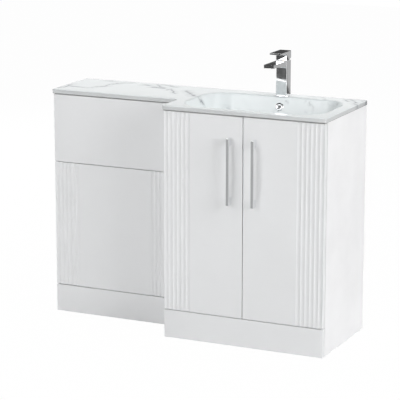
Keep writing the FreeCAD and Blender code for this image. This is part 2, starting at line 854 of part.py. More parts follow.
def build_basin():
    """The L-shaped slab with its bowl, overflow duct, waste hole and tap hole."""
    body = new_body("basin_top")
    sketch = sketch_on(body, "XY_Plane")
    left = -s.wc_width - s.side_overhang - s.vanity_width / 2
    step = -s.side_overhang - s.vanity_width / 2
    right = s.vanity_width / 2 + s.side_overhang
    front = -s.front_overhang - bowl_mid_y
    wc_front = wc_y - s.front_overhang - bowl_mid_y
    back = s.vanity_depth - bowl_mid_y
    outline(sketch, [(left, wc_front), (step, wc_front), (step, front), (right, front),
                     (right, back), (left, back)])
    slab = pad(body, sketch, s.slab_thick)
    slab = round_edges(body, slab, lambda edge: runs_along(edge, Vector(0, 0, 1)), s.slab_corner)
    doc.recompute()
    round_edges(body, slab, lambda edge: at_height(edge, s.slab_thick), s.slab_edge)
    inset = bowl_inset(s.slab_thick) - s.bowl_wall
    outer = sketch_on(body, "XY_Plane")
    round_rectangle(outer, bowl_length / 2 - inset, bowl_width / 2 - inset, s.bowl_corner - inset)
    drop = s.bowl_depth + s.bowl_floor - s.slab_thick
    pad(body, outer, drop, reverse=True, taper=-s.bowl_slope)
    duct(body)
    inner = sketch_on(body, "XY_Plane", (0, 0, s.slab_thick))
    round_rectangle(inner, bowl_length / 2, bowl_width / 2, s.bowl_corner)
    bowl = pocket(body, inner, s.bowl_depth, taper=-s.bowl_slope)
    floor = s.slab_thick - s.bowl_depth

    def bowl_foot(edge):
        inside = abs(edge.CenterOfMass.x) < (bowl_length / 2 - s.bowl_wall).number
        return at_height(edge, floor) and inside

    bowl = round_edges(body, bowl, bowl_foot, s.bowl_root)

    def bowl_mouth(edge):
        room = edge.BoundBox
        across = room.XMin > (step + s.slab_edge * 2).number
        deep = room.YMax < (back - s.slab_edge * 2).number
        near = room.YMin > (front + s.slab_edge * 2).number
        wide = room.XMax < (right - s.slab_edge * 2).number
        return at_height(edge, s.slab_thick) and across and deep and near and wide

    round_edges(body, bowl, bowl_mouth, s.bowl_rim)
    dish = sketch_on(body, "XZ_Plane", (0, 0, bowl_mid_y - waste_y))
    outline(dish, [(0, floor + s.edge_break), (s.dish_radius, floor + s.edge_break),
                   (s.dish_radius, floor), (s.flange_radius, floor - s.dish_depth),
                   (0, floor - s.dish_depth)])
    turning = body.newObject("PartDesign::Groove", "basin_top_dish")
    turning.Profile = dish
    turning.ReferenceAxis = (dish, ["V_Axis"])
    turning.Angle = 360
    waste = sketch_on(body, "XY_Plane", (0, 0, floor))
    circle(waste, 0, waste_y - bowl_mid_y, s.waste_hole)
    pocket(body, waste, drop)
    taps = sketch_on(body, "XY_Plane", (0, 0, s.slab_thick))
    circle(taps, 0, tap_y - bowl_mid_y, s.tap_hole)
    pocket(body, taps, s.slab_thick)
    mouth = overflow_place()
    bore = sketch_on(body, "XY_Plane", (0, mouth[1], mouth[2]), 90 - s.bowl_slope)
    circle(bore, 0, 0, s.overflow_hole)
    pocket(body, bore, s.overflow_bore)
    place(body, s.vanity_width / 2, bowl_mid_y, s.base_height)
    return keep(body, "basin_top")


def overflow_place():
    """The middle of the overflow on the bowl's back wall, in the basin's own frame."""
    back = bowl_width / 2 - bowl_inset(s.overflow_drop)
    return (as_size(0), back, s.slab_thick - s.overflow_drop)


def duct(body):
    """The overflow's duct: a rib down the back of the bowl and under it to the waste."""
    wall = s.duct_wall
    under = -(s.bowl_depth + s.bowl_floor - s.slab_thick)
    deep = under - duct_drop()
    waste = waste_y - bowl_mid_y
    front = waste - s.flange_radius
    mouth = s.slab_thick - s.overflow_drop
    high = mouth + s.overflow_hole + wall
    bend = high - s.overflow_hole * 2
    back_high = bowl_width / 2 - bowl_inset(s.overflow_drop) + duct_drop()
    back_low = bowl_width / 2 - bowl_inset(s.bowl_depth) + duct_drop()
    inside = back_low - s.bowl_root
    rib = sketch_on(body, "YZ_Plane")
    outline(rib, [(front, under + wall), (front, deep), (back_low, deep), (back_high, bend),
                  (back_high, high), (inside, high), (inside, under + wall)])
    pad(body, rib, s.duct_width, both_sides=True)
    void = sketch_on(body, "YZ_Plane")
    outline(void, [(waste, under - wall / 2), (waste, deep + wall), (back_low - wall, deep + wall),
                   (back_high - wall, bend + wall / 2), (back_high - wall, high - wall),
                   (back_high - wall * 2, high - wall), (back_high - wall * 2, bend + wall),
                   (back_low - wall * 2, under - wall / 2)])
    pocket(body, void, s.duct_bore, both_sides=True)


def duct_drop():
    """How far the duct's rib stands out of the bowl's wall and under its floor."""
    return s.duct_wall * 3


def build_waste():
    """The overflow ring and the click waste in the bowl's floor."""
    x = s.vanity_width / 2
    overflow_ring(x)
    tube_low = waste_z - s.waste_length
    top = waste_z + s.flange_thick
    under = s.base_height + s.slab_thick - s.bowl_depth - s.bowl_floor - duct_drop()
    nut_z = under - s.seal_thick - s.waste_nut_height
    bar_z = tube_low + s.waste_bar_rise
    waste_body(x, tube_low, nut_z)
    socket_z = bar_z + s.seal_thick
    keep(tube("waste_click_socket", (x, waste_y, socket_z), s.socket_radius + s.socket_wall,
              s.socket_radius + s.core_play, s.socket_length), "waste_click_socket")
    plug_low = socket_z + s.edge_break
    rod = top + s.edge_break / 2 - plug_low
    rim = rod + s.plug_thick - s.edge_break
    lid = rod + s.plug_thick
    plug = revolved("waste_plug", (x, waste_y, plug_low),
                    [(0, 0), (s.socket_radius, 0), (s.socket_radius, rod), (s.plug_radius, rod),
                     (s.plug_radius, rim), (s.plug_radius - s.edge_break, lid), (0, lid)])
    keep(plug, "waste_plug")
    keep(tube("waste_seal", (x, waste_y, under - s.seal_thick), s.waste_nut - s.seal_thick,
              s.waste_tube + s.core_play, s.seal_thick), "waste_seal")
    keep(hexagon_nut("waste_nut", (x, waste_y, nut_z), s.waste_nut, s.waste_tube + s.core_play,
                     s.waste_nut_height), "waste_nut")


def overflow_ring(x):
    """The trim ring pressed into the overflow on the bowl's back wall."""
    across, back, high = overflow_place()
    inner = s.overflow_hole - s.fit
    bore = inner - s.edge_break
    ring = revolved("overflow_ring", (x + across, back + bowl_mid_y, high + s.base_height),
                    [(bore, -s.duct_wall), (inner, -s.duct_wall), (inner, 0), (s.ring_radius, 0),
                     (s.ring_radius, s.ring_thick), (bore, s.ring_thick)],
                    90 - s.bowl_slope)
    keep(ring, "overflow_ring")


def waste_body(x, low, nut_z):
    """The waste's flanged tube, slotted for the overflow, with the bar that holds the click socket."""
    flange = s.waste_length + s.flange_thick
    tail = nut_z - low
    barrel = revolved("waste_barrel", (x, waste_y, low),
                      [(s.waste_bore, 0), (s.waste_tail, 0), (s.waste_tail, tail),
                       (s.waste_tube, tail), (s.waste_tube, s.waste_length),
                       (s.flange_radius, s.waste_length), (s.flange_radius, flange - s.edge_break),
                       (s.flange_radius - s.edge_break, flange), (s.waste_bore, flange)])
    half = s.seal_thick
    depth = (waste_y - half, waste_y + half)
    slot_low = waste_z - s.bowl_floor - duct_drop()
    slot = box("waste_slot", (x - s.waste_hole, x + s.waste_hole), depth,
               (slot_low, slot_low + s.waste_slot))
    reach = s.waste_bore + s.edge_break
    bar_low = low + s.waste_bar_rise
    bar = box("waste_bar", (x - reach, x + reach), depth, (bar_low, bar_low + s.seal_thick))
    keep(fuse("waste_body", [cut("waste_slotted", barrel, [slot]), bar]), "waste_body")


def hexagon_nut(name, centre, corner, bore, height):
    """A six sided nut measured across its corners."""
    prism = doc.addObject("Part::Prism", f"{name}_hexagon")
    prism.Polygon = 6
    bind(prism, "Circumradius", corner)
    bind(prism, "Height", height)
    place(prism, *centre)
    return cut(name, prism, [cylinder(f"{name}_hole", centre, bore, height)])


# Basin mixer

def spindle_pin_z():
    """The height of the pin that the tap's lever tilts on."""
    return tap_top - s.tilt_pin_drop


def build_tap():
    """The mixer: foot ring, column with its spout, cartridge, lever and fixings."""
    x = s.vanity_width / 2
    foot = revolved("tap_foot_ring", (x, tap_y, slab_top),
                    [(s.tap_hole - s.edge_break, 0), (s.tap_foot_radius, 0),
                     (s.tap_foot_radius - s.edge_break / 2, s.tap_foot_thick),
                     (s.tap_hole - s.edge_break, s.tap_foot_thick)])
    keep(foot, "tap_foot_ring")
    build_tap_body(x)
    nozzle_y = tap_y - s.spout_reach + s.aerator_radius + s.seal_thick
    nozzle_z = tap_top - s.spout_tip - s.edge_break
    outer = s.aerator_radius - s.fit
    inner = outer - s.edge_break * 2
    aerator = revolved("tap_aerator", (x, nozzle_y, nozzle_z),
                       [(inner, 0), (outer, 0), (outer, s.aerator_depth), (0, s.aerator_depth),
                        (0, s.edge_break), (inner, s.edge_break)])
    keep(aerator, "tap_aerator")
    build_cartridge(x)
    build_lever(x)
    build_tap_fixings(x)


def build_tap_body(x):
    """The column and its flat spout, bored for the cartridge and the fixings."""
    body = new_body("tap_body")
    sketch = sketch_on(body, "XY_Plane")
    half_w, half_d = s.column_width / 2, s.column_depth / 2
    rectangle(sketch, (-half_w, half_w), (-half_d, half_d))
    height = s.column_height - s.tap_foot_thick
    column = pad(body, sketch, height)
    round_edges(body, column, lambda edge: runs_along(edge, Vector(0, 0, 1)), s.column_round)
    spout = sketch_on(body, "YZ_Plane")
    reach, tip, root = s.spout_reach, s.spout_tip, s.spout_root
    outline(spout, [(0, height), (-reach, height), (-reach, height - tip),
                    (s.aerator_radius * 2 + s.seal_thick * 2 - reach, height - tip),
                    (-half_d - s.spout_root_run, height - root + s.spout_root_lift),
                    (-half_d - s.spout_root_turn, height - root),
                    (-half_d, height - root - s.column_round),
                    (0, height - root - s.column_round)])
    arm = pad(body, spout, s.spout_width, both_sides=True)

    def spout_edge(edge):
        room = edge.BoundBox
        return abs(room.YMin + reach.number) < 0.01 and abs(room.YMax + reach.number) < 0.01

    round_edges(body, arm, spout_edge, s.edge_break)
    bore = sketch_on(body, "XY_Plane", (0, 0, height))
    circle(bore, 0, 0, s.cartridge_radius + s.core_play)
    pocket(body, bore, s.cartridge_length)
    nozzle = sketch_on(body, "XY_Plane", (0, 0, height - tip))
    circle(nozzle, 0, s.aerator_radius + s.seal_thick - reach, s.aerator_radius)
    pocket(body, nozzle, s.aerator_depth, reverse=True)
    inlets = sketch_on(body, "XY_Plane")
    for side in (-1, 1):
        circle(inlets, s.inlet_offset * side, s.inlet_radius, s.inlet_radius)
    circle(inlets, 0, -s.inlet_offset, s.stud_radius + s.fit / 2)
    pocket(body, inlets, s.inlet_depth, reverse=True)
    place(body, x, tap_y, slab_top + s.tap_foot_thick)
    return keep(body, "tap_body")


def build_cartridge(x):
    """The mixing cartridge and the slotted core that turns in its head."""
    low = tap_top - s.cartridge_length
    shell = cylinder("tap_cartridge_shell", (x, tap_y, low), s.cartridge_radius, s.cartridge_length)
    well = cylinder("tap_cartridge_well", (x, tap_y, tap_top - s.core_length - s.edge_break),
                    s.core_radius + s.core_play, s.core_length + s.edge_break)
    keep(cut("tap_cartridge", shell, [well]), "tap_cartridge")
    core = cylinder("tap_core_round", (x, tap_y, tap_top - s.core_length - s.edge_break),
                    s.core_radius, s.core_length)
    half_w = s.spindle_width / 2 + s.spindle_play
    half_l = s.core_slot_reach
    slot = box("tap_core_slot", (x - half_w, x + half_w), (tap_y - half_l, tap_y + half_l),
               (tap_top - s.core_length + s.edge_break, tap_top))
    pin = cylinder("tap_core_pin", (x - half_l, tap_y, spindle_pin_z()), s.pin_radius,
                   half_l * 2, Vector(1, 0, 0))
    keep(fuse("tap_cartridge_core", [cut("tap_core_slotted", core, [slot]), pin]),
         "tap_cartridge_core")


def build_lever(x):
    """The lever: a block over the column under one flat plate, and its spindle."""
    body = new_body("tap_lever")
    sketch = sketch_on(body, "YZ_Plane")
    half_d = s.column_depth / 2
    low = s.column_height + s.lever_gap
    under = s.lever_top - s.lever_plate
    front = half_d - s.lever_length
    outline(sketch, [(front, s.lever_top), (front, s.lever_top - s.lever_lip),
                     (-half_d - s.lever_plate, under), (-half_d, under - s.lever_plate), (-half_d, low),
                     (s.lever_gap, low), (half_d, low + s.lever_heel_lift), (half_d, s.lever_top)])
    block = pad(body, sketch, s.lever_width, both_sides=True)

    def upright(edge):
        return runs_along(edge, Vector(0, 0, 1)) and edge.BoundBox.YMin > -half_d.number - 0.01

    round_edges(body, block, upright, s.lever_round)
    socket = sketch_on(body, "XY_Plane", (0, 0, low))
    half_w = s.spindle_width / 2 + s.fit
    half_l = s.spindle_depth / 2 + s.fit
    rectangle(socket, (-half_w, half_w), (-half_l, half_l))
    pocket(body, socket, s.spindle_socket + s.fit, reverse=True)
    grub = sketch_on(body, "XZ_Plane", (0, 0, -half_d))
    circle(grub, 0, low + s.grub_rise, s.inlet_radius / 2)
    pocket(body, grub, half_d - half_l, reverse=True)
    place(body, x, tap_y, slab_top)
    keep(body, "tap_lever")
    half_w, half_l = s.spindle_width / 2, s.spindle_depth / 2
    spindle_low = tap_top - s.core_length + s.edge_break * 3
    bar = box("tap_spindle_bar", (x - half_w, x + half_w), (tap_y - half_l, tap_y + half_l),
              (spindle_low, tap_top + s.lever_gap + s.spindle_socket))
    eye = cylinder("tap_spindle_eye", (x - half_w, tap_y, spindle_pin_z()), s.pin_radius + s.fit / 2,
                   s.spindle_width, Vector(1, 0, 0))
    keep(cut("tap_spindle", bar, [eye]), "tap_spindle")
    screw = cylinder("tap_grub_screw",
                     (x, tap_y + half_l + s.fit, tap_top + s.lever_gap + s.grub_rise),
                     s.inlet_radius / 2 - s.core_play, half_d / 2, Vector(0, 1, 0))
    keep(screw, "tap_grub_screw")


def build_tap_fixings(x):
    """The stud, clamp plate and nut that pull the tap onto the slab."""
    stud_y = tap_y - s.inlet_offset
    clamp_z = s.base_height - s.seal_thick
    stud = cylinder("tap_stud", (x, stud_y, s.base_height - s.stud_drop), s.stud_radius,
                    s.stud_drop + s.slab_thick + s.tap_foot_thick + s.inlet_depth - s.edge_break)
    keep(stud, "tap_stud")
    disc = cylinder("tap_clamp_disc", (x, tap_y, clamp_z), s.tap_hole + s.clamp_lap, s.seal_thick)
    half = s.inlet_offset + s.inlet_radius + s.edge_break
    gate = box("tap_clamp_gate", (x - half, x + half),
               (tap_y - s.edge_break, tap_y + s.tap_hole * 2), (clamp_z, s.base_height))
    hole = cylinder("tap_clamp_hole", (x, stud_y, clamp_z), s.stud_radius + s.fit, s.seal_thick)
    keep(cut("tap_clamp_plate", disc, [gate, hole]), "tap_clamp_plate")
    keep(hexagon_nut("tap_fixing_nut", (x, stud_y, clamp_z - s.tap_nut_height), s.tap_nut,
                     s.stud_radius + s.core_play, s.tap_nut_height), "tap_fixing_nut")


# Small fittings

def angle_bracket(name, corner_x, corner_y, low, turn_x, turn_y, holed=False):
    """A bent steel angle: one leg against a side board, the other against a flat face."""
    body = new_body(name)
    sketch = sketch_on(body, "XY_Plane")
    leg, thick = s.bracket_leg, s.bracket_thick
    outline(sketch, [(0, 0), (leg * turn_x, 0), (leg * turn_x, thick * turn_y),
                     (thick * turn_x, thick * turn_y), (thick * turn_x, leg * turn_y),
                     (0, leg * turn_y)])
    pad(body, sketch, s.bracket_height)
    if holed:
        hole = sketch_on(body, "XZ_Plane")
        circle(hole, (leg + thick) / 2 * turn_x, s.bracket_height / 2, s.bracket_hole)
        pocket(body, hole, thick, reverse=turn_y < 0)
    place(body, corner_x, corner_y, low)
    return body


def build_fittings():
    """Brackets, shelf pins, panel clips and door buffers."""
    vanity_faces = ((s.board, 1), (s.vanity_width - s.board, -1))
    wc_faces = ((s.board - s.wc_width, 1), (-s.board, -1))
    wall_z = back_rail_z - s.bracket_height
    wall = [angle_bracket("wall_bracket", x, s.vanity_depth, wall_z, turn, -1, holed=True)
            for x, turn in vanity_faces + wc_faces]
    group("wall_brackets", wall)
    plinth_z = (s.plinth_height - s.bracket_height) / 2
    front = [angle_bracket("plinth_bracket", x, s.front_board, plinth_z, turn, 1)
             for x, turn in vanity_faces]
    front += [angle_bracket("plinth_bracket", x, wc_y + s.front_board, plinth_z, turn, 1)
              for x, turn in wc_faces]
    group("plinth_brackets", front)
    panel_z = s.plinth_height + s.rail_height + s.bracket_height
    panel = [angle_bracket("panel_bracket", x, wc_y + s.front_board, panel_z, turn, 1)
             for x, turn in wc_faces]
    group("panel_brackets", panel)
    build_shelf_pins()
    build_clips()
    build_buffers()


def build_shelf_pins():
    """Four pins in the side boards that carry the shelf."""
    pins = []
    reach = s.shelf_pin_reach
    for y in shelf_pin_places():
        for x, way in ((s.board, 1), (s.vanity_width - s.board, -1)):
            pins.append(cylinder("shelf_pin", (x - reach * way, y, shelf_pin_z()),
                                 s.shelf_pin_radius, reach * 2, Vector(way, 0, 0)))
    group("shelf_pins", pins)


def build_clips():
    """Pegs on the lift-off panel and the sockets in the rails that grip them."""
    pegs, sockets = [], []
    back = wc_y + s.front_board
    for z in clip_heights():
        for x in clip_places():
            pegs.append(cylinder("panel_peg", (x, back, z), s.clip_peg, s.clip_reach + s.front_gap,
                                 Vector(0, 1, 0)))
            bore = cylinder("panel_socket_bore", (x, wc_carcass_y, z), s.clip_bore, s.board,
                            Vector(0, 1, 0))
            sockets.append(cut("panel_socket", clip_block("panel_socket_block", x, z), [bore]))
    group("panel_clip_pegs", pegs)
    group("panel_clip_sockets", sockets)


def build_buffers():
    """Soft buffers on the front edges that the doors close against."""
    middle = s.vanity_width / 2
    rail_z = s.base_height - s.front_rail_drop - s.rail_height / 2
    floor_z = s.plinth_height + s.board / 2 + s.seam
    pads = []
    for x in (middle - s.handle_offset / 2, middle + s.handle_offset / 2):
        for z in (rail_z, floor_z):
            pads.append(cylinder("door_buffer", (x, carcass_y, z), s.buffer_radius, s.buffer_thick,
                                 Vector(0, -1, 0)))
    group("door_buffers", pads)


def write_parts():
    """Check every object and every sub-part, and write one file for each sub-part."""
    doc.recompute()
    failed = [item.Name for item in doc.Objects if "Invalid" in item.State or "Error" in item.State]
    if failed:
        raise RuntimeError(f"these did not build: {failed}")
    os.makedirs("parts", exist_ok=True)
    for piece in kept:
        if piece.Shape.isNull() or not piece.Shape.isValid():
            raise RuntimeError(f"{piece.Label} has no sound shape")
        piece.Shape.exportStep(f"parts/{piece.Label}.step")


build_carcass()
build_fronts()
handle("left_handle", True)
handle("right_handle", False)
build_hinges()
build_basin()
build_waste()
build_tap()
build_fittings()
write_parts()
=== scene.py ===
import json
import math
from functools import lru_cache

import bmesh
import bpy
from mathutils import Matrix, Vector
from mathutils.geometry import tessellate_polygon


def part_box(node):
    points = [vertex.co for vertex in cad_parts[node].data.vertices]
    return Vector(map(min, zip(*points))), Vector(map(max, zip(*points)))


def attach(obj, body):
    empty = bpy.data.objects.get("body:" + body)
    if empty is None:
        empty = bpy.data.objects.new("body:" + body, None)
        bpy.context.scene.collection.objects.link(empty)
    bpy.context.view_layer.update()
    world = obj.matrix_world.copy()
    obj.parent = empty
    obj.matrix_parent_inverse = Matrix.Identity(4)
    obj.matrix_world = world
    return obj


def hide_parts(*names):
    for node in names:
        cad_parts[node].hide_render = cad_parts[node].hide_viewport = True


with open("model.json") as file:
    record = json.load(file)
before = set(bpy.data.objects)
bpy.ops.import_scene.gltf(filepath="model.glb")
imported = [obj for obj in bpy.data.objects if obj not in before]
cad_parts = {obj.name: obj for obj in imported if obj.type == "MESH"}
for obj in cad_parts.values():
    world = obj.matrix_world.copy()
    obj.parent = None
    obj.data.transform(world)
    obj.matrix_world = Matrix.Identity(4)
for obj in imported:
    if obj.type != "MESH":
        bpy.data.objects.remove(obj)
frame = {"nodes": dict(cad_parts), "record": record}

bl_info = {
    "name": "Fluted vanity unit",
    "version": (1, 0, 0),
    "blender": (4, 5, 0),
    "location": "3D View > Sidebar > Vanity",
    "description": "Dresses a vanity unit with fluted fronts, a cast top and a basin mixer",
    "category": "Object",
}

MM = 0.001
LEFT, RIGHT = -1, 1
WHITE = (1.0, 1.0, 1.0, 1.0)

# How finely the meshes are made
MERGE_DISTANCE = 0.000002
NEAR = 0.00001
POLE_RADIUS = 0.00001
SOFT_STEPS = 3
EDGE_STEPS = 4
FRONT_ROWS = 12
FRONT_GUARD = 3 * MM
COLUMN_WIDTH = 0.5 * MM
PLAIN_COLUMNS = 16
HOLLOW_STEPS = 6
CORNER_STEPS = 6
UNDER_STEPS = 3
BOWL_CORNER_STEPS = 14
RIM_STEPS = 8
ROOT_STEPS = 10
FLOOR_STEPS = 18
SKIRT_STEPS = 6
CELL_ROWS = 15
TURNED_SIDES = 72
DRILL_SIDES = 64
BORE_SIDES = 48
TAP_HOLE_SIDES = 40
FOOT_HOLE_SIDES = 32
GRUB_SIDES = 24
GUARD = 1 * MM
CUT_PAST = 2 * MM

# Sizes that the frame doesn't give
NO_BAND = -1.0
PLATE_HEIGHT = 48 * MM
BOWL_SETBACK = 22 * MM
WASTE_HOLE = 22 * MM
TAP_HOLE = 17.5 * MM
OVERFLOW_DROP = 36 * MM
OVERFLOW_BORE = 11 * MM
OVERFLOW_REACH = (-7 * MM, 12 * MM)
WASTE_PAST = 5 * MM
OUTER_ROOT = 0.6
RIB_WIDTH = 40 * MM
RIB_DROP = OVERFLOW_DROP + 8 * MM
RIB_OUT = 9 * MM
RIB_INSIDE = ((39 * MM, 7 * MM), (44 * MM, 4 * MM), (85 * MM, 4 * MM), (102 * MM, 5 * MM),
              (113 * MM, -9 * MM))
NOZZLE_FLAT = 27 * MM
NOZZLE_BORE = 10.5 * MM
SPOUT_BEND = ((10 * MM, 2 * MM), (3 * MM, 0))
CARTRIDGE_PLAY = 0.1 * MM
SPINDLE_PLAY = 0.2 * MM
GRUB_RADIUS = 2.25 * MM
FOOT_HOLES = ((-8.5 * MM, 4.5 * MM, 4.5 * MM), (8.5 * MM, 4.5 * MM, 4.5 * MM),
              (0, -8.5 * MM, 4.1 * MM))
FOOT_HOLE_DEPTH = 12 * MM
LEVER_TIP = 0.9
LEVER_HEEL = 7 * MM
LEVER_CORNER = 3 * MM
MESH_CELL = {"Cell": 1.25 * MM, "Wall": 0.3 * MM, "Depth": 1.6 * MM}
MESH_HEIGHT = 1.5 * MM
SCREW_HEAD = {"Radius": 3.2 * MM, "Height": 1.6 * MM, "Slot": 0.8 * MM}
LEG = 2 * MM
FAR_FROM_CORNER = 0.1 * MM
PLATE_SCREW = 19 * MM
CUP_SCREW = 22 * MM
CUP_FLANGE = 1 * MM
HANDLE_SCREW = 13 * MM
FLOOR_REACH = 9.0
FILM_WIDTH = 36
SHADOWLESS = 0.982
SWAP_YZ = Matrix(((1, 0, 0, 0), (0, 0, 1, 0), (0, 1, 0, 0), (0, 0, 0, 1)))


# Sizes that the frame gives

@lru_cache(maxsize=None)
def room(node):
    """A node's lowest and highest corners at rest, measured once."""
    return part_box(node)


def low(node):
    """A node's lowest corner at rest."""
    return room(node)[0]


def high(node):
    """A node's highest corner at rest."""
    return room(node)[1]


def middle(node):
    """The middle of a node's box at rest."""
    return (low(node) + high(node)) / 2


def shade(red, green, blue):
    """A colour picked as three screen levels from 0 to 255, as Blender's linear one."""
    return tuple(((level / 255 + 0.055) / 1.055) ** 2.4 for level in (red, green, blue))


SLAB_TOP = high("basin_top").z
SLAB_LOW = high("vanity_right_side").z
COLUMN_X = middle("tap_foot_ring").x
COLUMN_Y = middle("tap_foot_ring").y
BOWL_X = middle("waste_plug").x
WASTE_RADIUS = high("waste_body").x - middle("waste_body").x


def length(name, default, description):
    """A length that a user can change."""
    return bpy.props.FloatProperty(name=name, default=default, min=0, unit="LENGTH",
                                   precision=4, description=description)


def tint(name, default, description):
    """A colour that a user can change."""
    return bpy.props.FloatVectorProperty(name=name, default=default, min=0, max=1, size=3,
                                         subtype="COLOR", description=description)


def share(name, default, description):
    """A share from none to all that a user can change."""
    return bpy.props.FloatProperty(name=name, default=default, min=0, max=1, subtype="FACTOR",
                                   description=description)


def degrees(name, default, description, **options):
    """An angle that a user can change."""
    return bpy.props.FloatProperty(name=name, default=math.radians(default),
                                   subtype="ANGLE", description=description, **options)


def power(name, default, description):
    """A lamp's power that a user can change."""
    return bpy.props.FloatProperty(name=name, default=default, min=0, subtype="POWER",
                                   description=description)


class VanityFrontSettings(bpy.types.PropertyGroup):
    """Sizes and colour of the doors and panels."""

    colour: tint("Front colour", shade(230, 231, 232), "Satin white of the doors and panels")
    sheen: share("Roughness", 0.42, "How dull the wrapped fronts are")
    pitch: length("Groove pitch", 16.5 * MM, "Distance from one groove to the next")
    land: length("Land", 0.4 * MM, "Flat left between two grooves")
    depth: length("Groove depth", 2.5 * MM, "How far a groove goes into the front")
    grooves: bpy.props.IntProperty(name="Grooves", default=6, min=0,
                                   description="Grooves in one band")
    margin: length("Margin", 1 * MM, "Flat left between a band and the front's edge")
    edge: length("Edge radius", 1 * MM, "Rounding of every edge of a front")
    cup_inset: length("Cup inset", 22.5 * MM, "Hinge cup's middle from the door's edge")
    cup_radius: length("Cup bore", 17.5 * MM, "Radius of the bore for a hinge cup")
    cup_depth: length("Cup depth", 11.7 * MM, "Depth of the bore for a hinge cup")


class VanityHandleSettings(bpy.types.PropertyGroup):
    """Sizes of the bar handles."""

    post: length("Post height", 26 * MM, "Height of each end post")
    bar: length("Bar thickness", 7 * MM, "Thickness of the bar from front to back")
    hollow: length("Inner radius", 7 * MM, "Rounding where the bar meets a post")
    edge: length("Edge radius", 0.9 * MM, "Rounding of the outer edges")


class VanityTopSettings(bpy.types.PropertyGroup):
    """Sizes and colours of the cast basin top."""

    corner: length("Corner radius", 7 * MM, "Rounding of the slab's corners in plan")
    edge: length("Edge radius", 2.2 * MM, "Rounding of the slab's upper edge")
    under_edge: length("Lower edge radius", 3.5 * MM, "Rounding of the slab's lower edge")
    bowl_length: length("Bowl length", 524 * MM, "Bowl from left to right at the slab's top")
    bowl_width: length("Bowl width", 308 * MM, "Bowl from front to back at the slab's top")
    bowl_depth: length("Bowl depth", 108 * MM, "Bowl's floor below the slab's top")
    bowl_corner: length("Bowl corner", 90 * MM, "Rounding of the bowl in plan")
    bowl_rim: length("Rim radius", 8 * MM, "Rounding of the bowl's mouth")
    bowl_root: length("Root radius", 25 * MM, "Rounding between the bowl's wall and floor")
    wall: length("Wall", 8 * MM, "Thickness of the bowl's wall")
    floor: length("Floor", 12 * MM, "Thickness of the bowl's floor")
    slope: degrees("Wall slope", 22, "Lean of the wall from upright", min=0)
    dish_radius: length("Dish radius", 85 * MM, "Where the floor starts to fall to the waste")
    dish_depth: length("Dish depth", 4 * MM, "How far the floor falls to the waste")
    colour: tint("Marble colour", shade(223, 228, 229), "Ground of the cast marble")
    # Painted shade: upright faces of the cast top are coloured darker than its top, for the
    # lesser light that falls on them
    side: tint("Upright shade colour", shade(207, 209, 210), "Painted shade on upright faces of the cast top")
    # Painted shadow: faces that look down are coloured dark grey, for the shadow line under
    # the slab's lower edge
    under: tint("Underside shadow colour", shade(150, 150, 149), "Painted shadow on faces of the cast top that look down")
    vein: tint("Vein colour", shade(96, 103, 110), "Darkest grey of the veins")


class VanityTapSettings(bpy.types.PropertyGroup):
    """Sizes and colours of the mixer and other chrome."""

    corner: length("Column corner", 3.5 * MM, "Rounding of the column's upright corners")
    tip: length("Spout tip", 12 * MM, "Thickness of the spout at its end")
    root: length("Spout root", 22 * MM, "Thickness of the spout where it leaves the column")
    spout_width: length("Spout width", 37 * MM, "Width of the spout")
    plate: length("Lever plate", 6 * MM, "Thickness of the lever's plate")
    edge: length("Edge radius", 0.7 * MM, "Rounding of the mixer's edges")
    chrome: tint("Chrome colour", shade(243, 244, 245), "Polished chrome")
    satin: tint("Satin chrome colour", shade(247, 248, 249), "Brushed metal of the handles")


class VanityStageSettings(bpy.types.PropertyGroup):
    """Camera, lamps and floor."""

    lens: bpy.props.FloatProperty(name="Lens", default=170.1, min=1,
                                  description="Focal length in millimetres on a 36 mm frame")
    eye: bpy.props.FloatVectorProperty(
        name="Camera", default=(2.8006, -5.9339, 1.9743), size=3, subtype="TRANSLATION",
        description="Place of the camera")
    heading: degrees("Heading", 25.2, "Turn of the camera leftwards")
    tilt: degrees("Tilt", 12.974, "How far the camera looks down")
    key: power("Key lamp", 150, "Power of the large lamp on the right")
    fill: power("Front lamp", 103, "Power of the large lamp in front")
    over: power("Top lamp", 42, "Power of the large lamp overhead")
    back: power("Back lamp", 68, "Power of the lamp behind on the left")
    room: share("Room light", 0.1, "Strength of the light from all around")
    floor: tint("Floor colour", shade(250, 250, 250), "Plain pale floor")


def settings():
    """The add-on's settings in the scene."""
    scene = bpy.context.scene
    return (scene.vanity_fronts, scene.vanity_handles, scene.vanity_top, scene.vanity_tap,
            scene.vanity_stage)


# Node trees

class Wire:
    """A node's output, with which sums are written as on plain numbers."""

    def __init__(self, graph, socket):
        self.graph = graph
        self.socket = socket

    def __add__(self, other):
        return self.graph.math("ADD", self, other)

    def __sub__(self, other):
        return self.graph.math("SUBTRACT", self, other)

    def __rsub__(self, other):
        return self.graph.math("SUBTRACT", other, self)

    def __mul__(self, other):
        return self.graph.math("MULTIPLY", self, other)

    def __truediv__(self, other):
        return self.graph.math("DIVIDE", self, other)

    def __rtruediv__(self, other):
        return self.graph.math("DIVIDE", other, self)


class Outputs:
    """A node's outputs, reached by name or place."""

    def __init__(self, graph, node):
        self.graph = graph
        self.node = node

    def __getitem__(self, key):
        return Wire(self.graph, self.node.outputs[key])


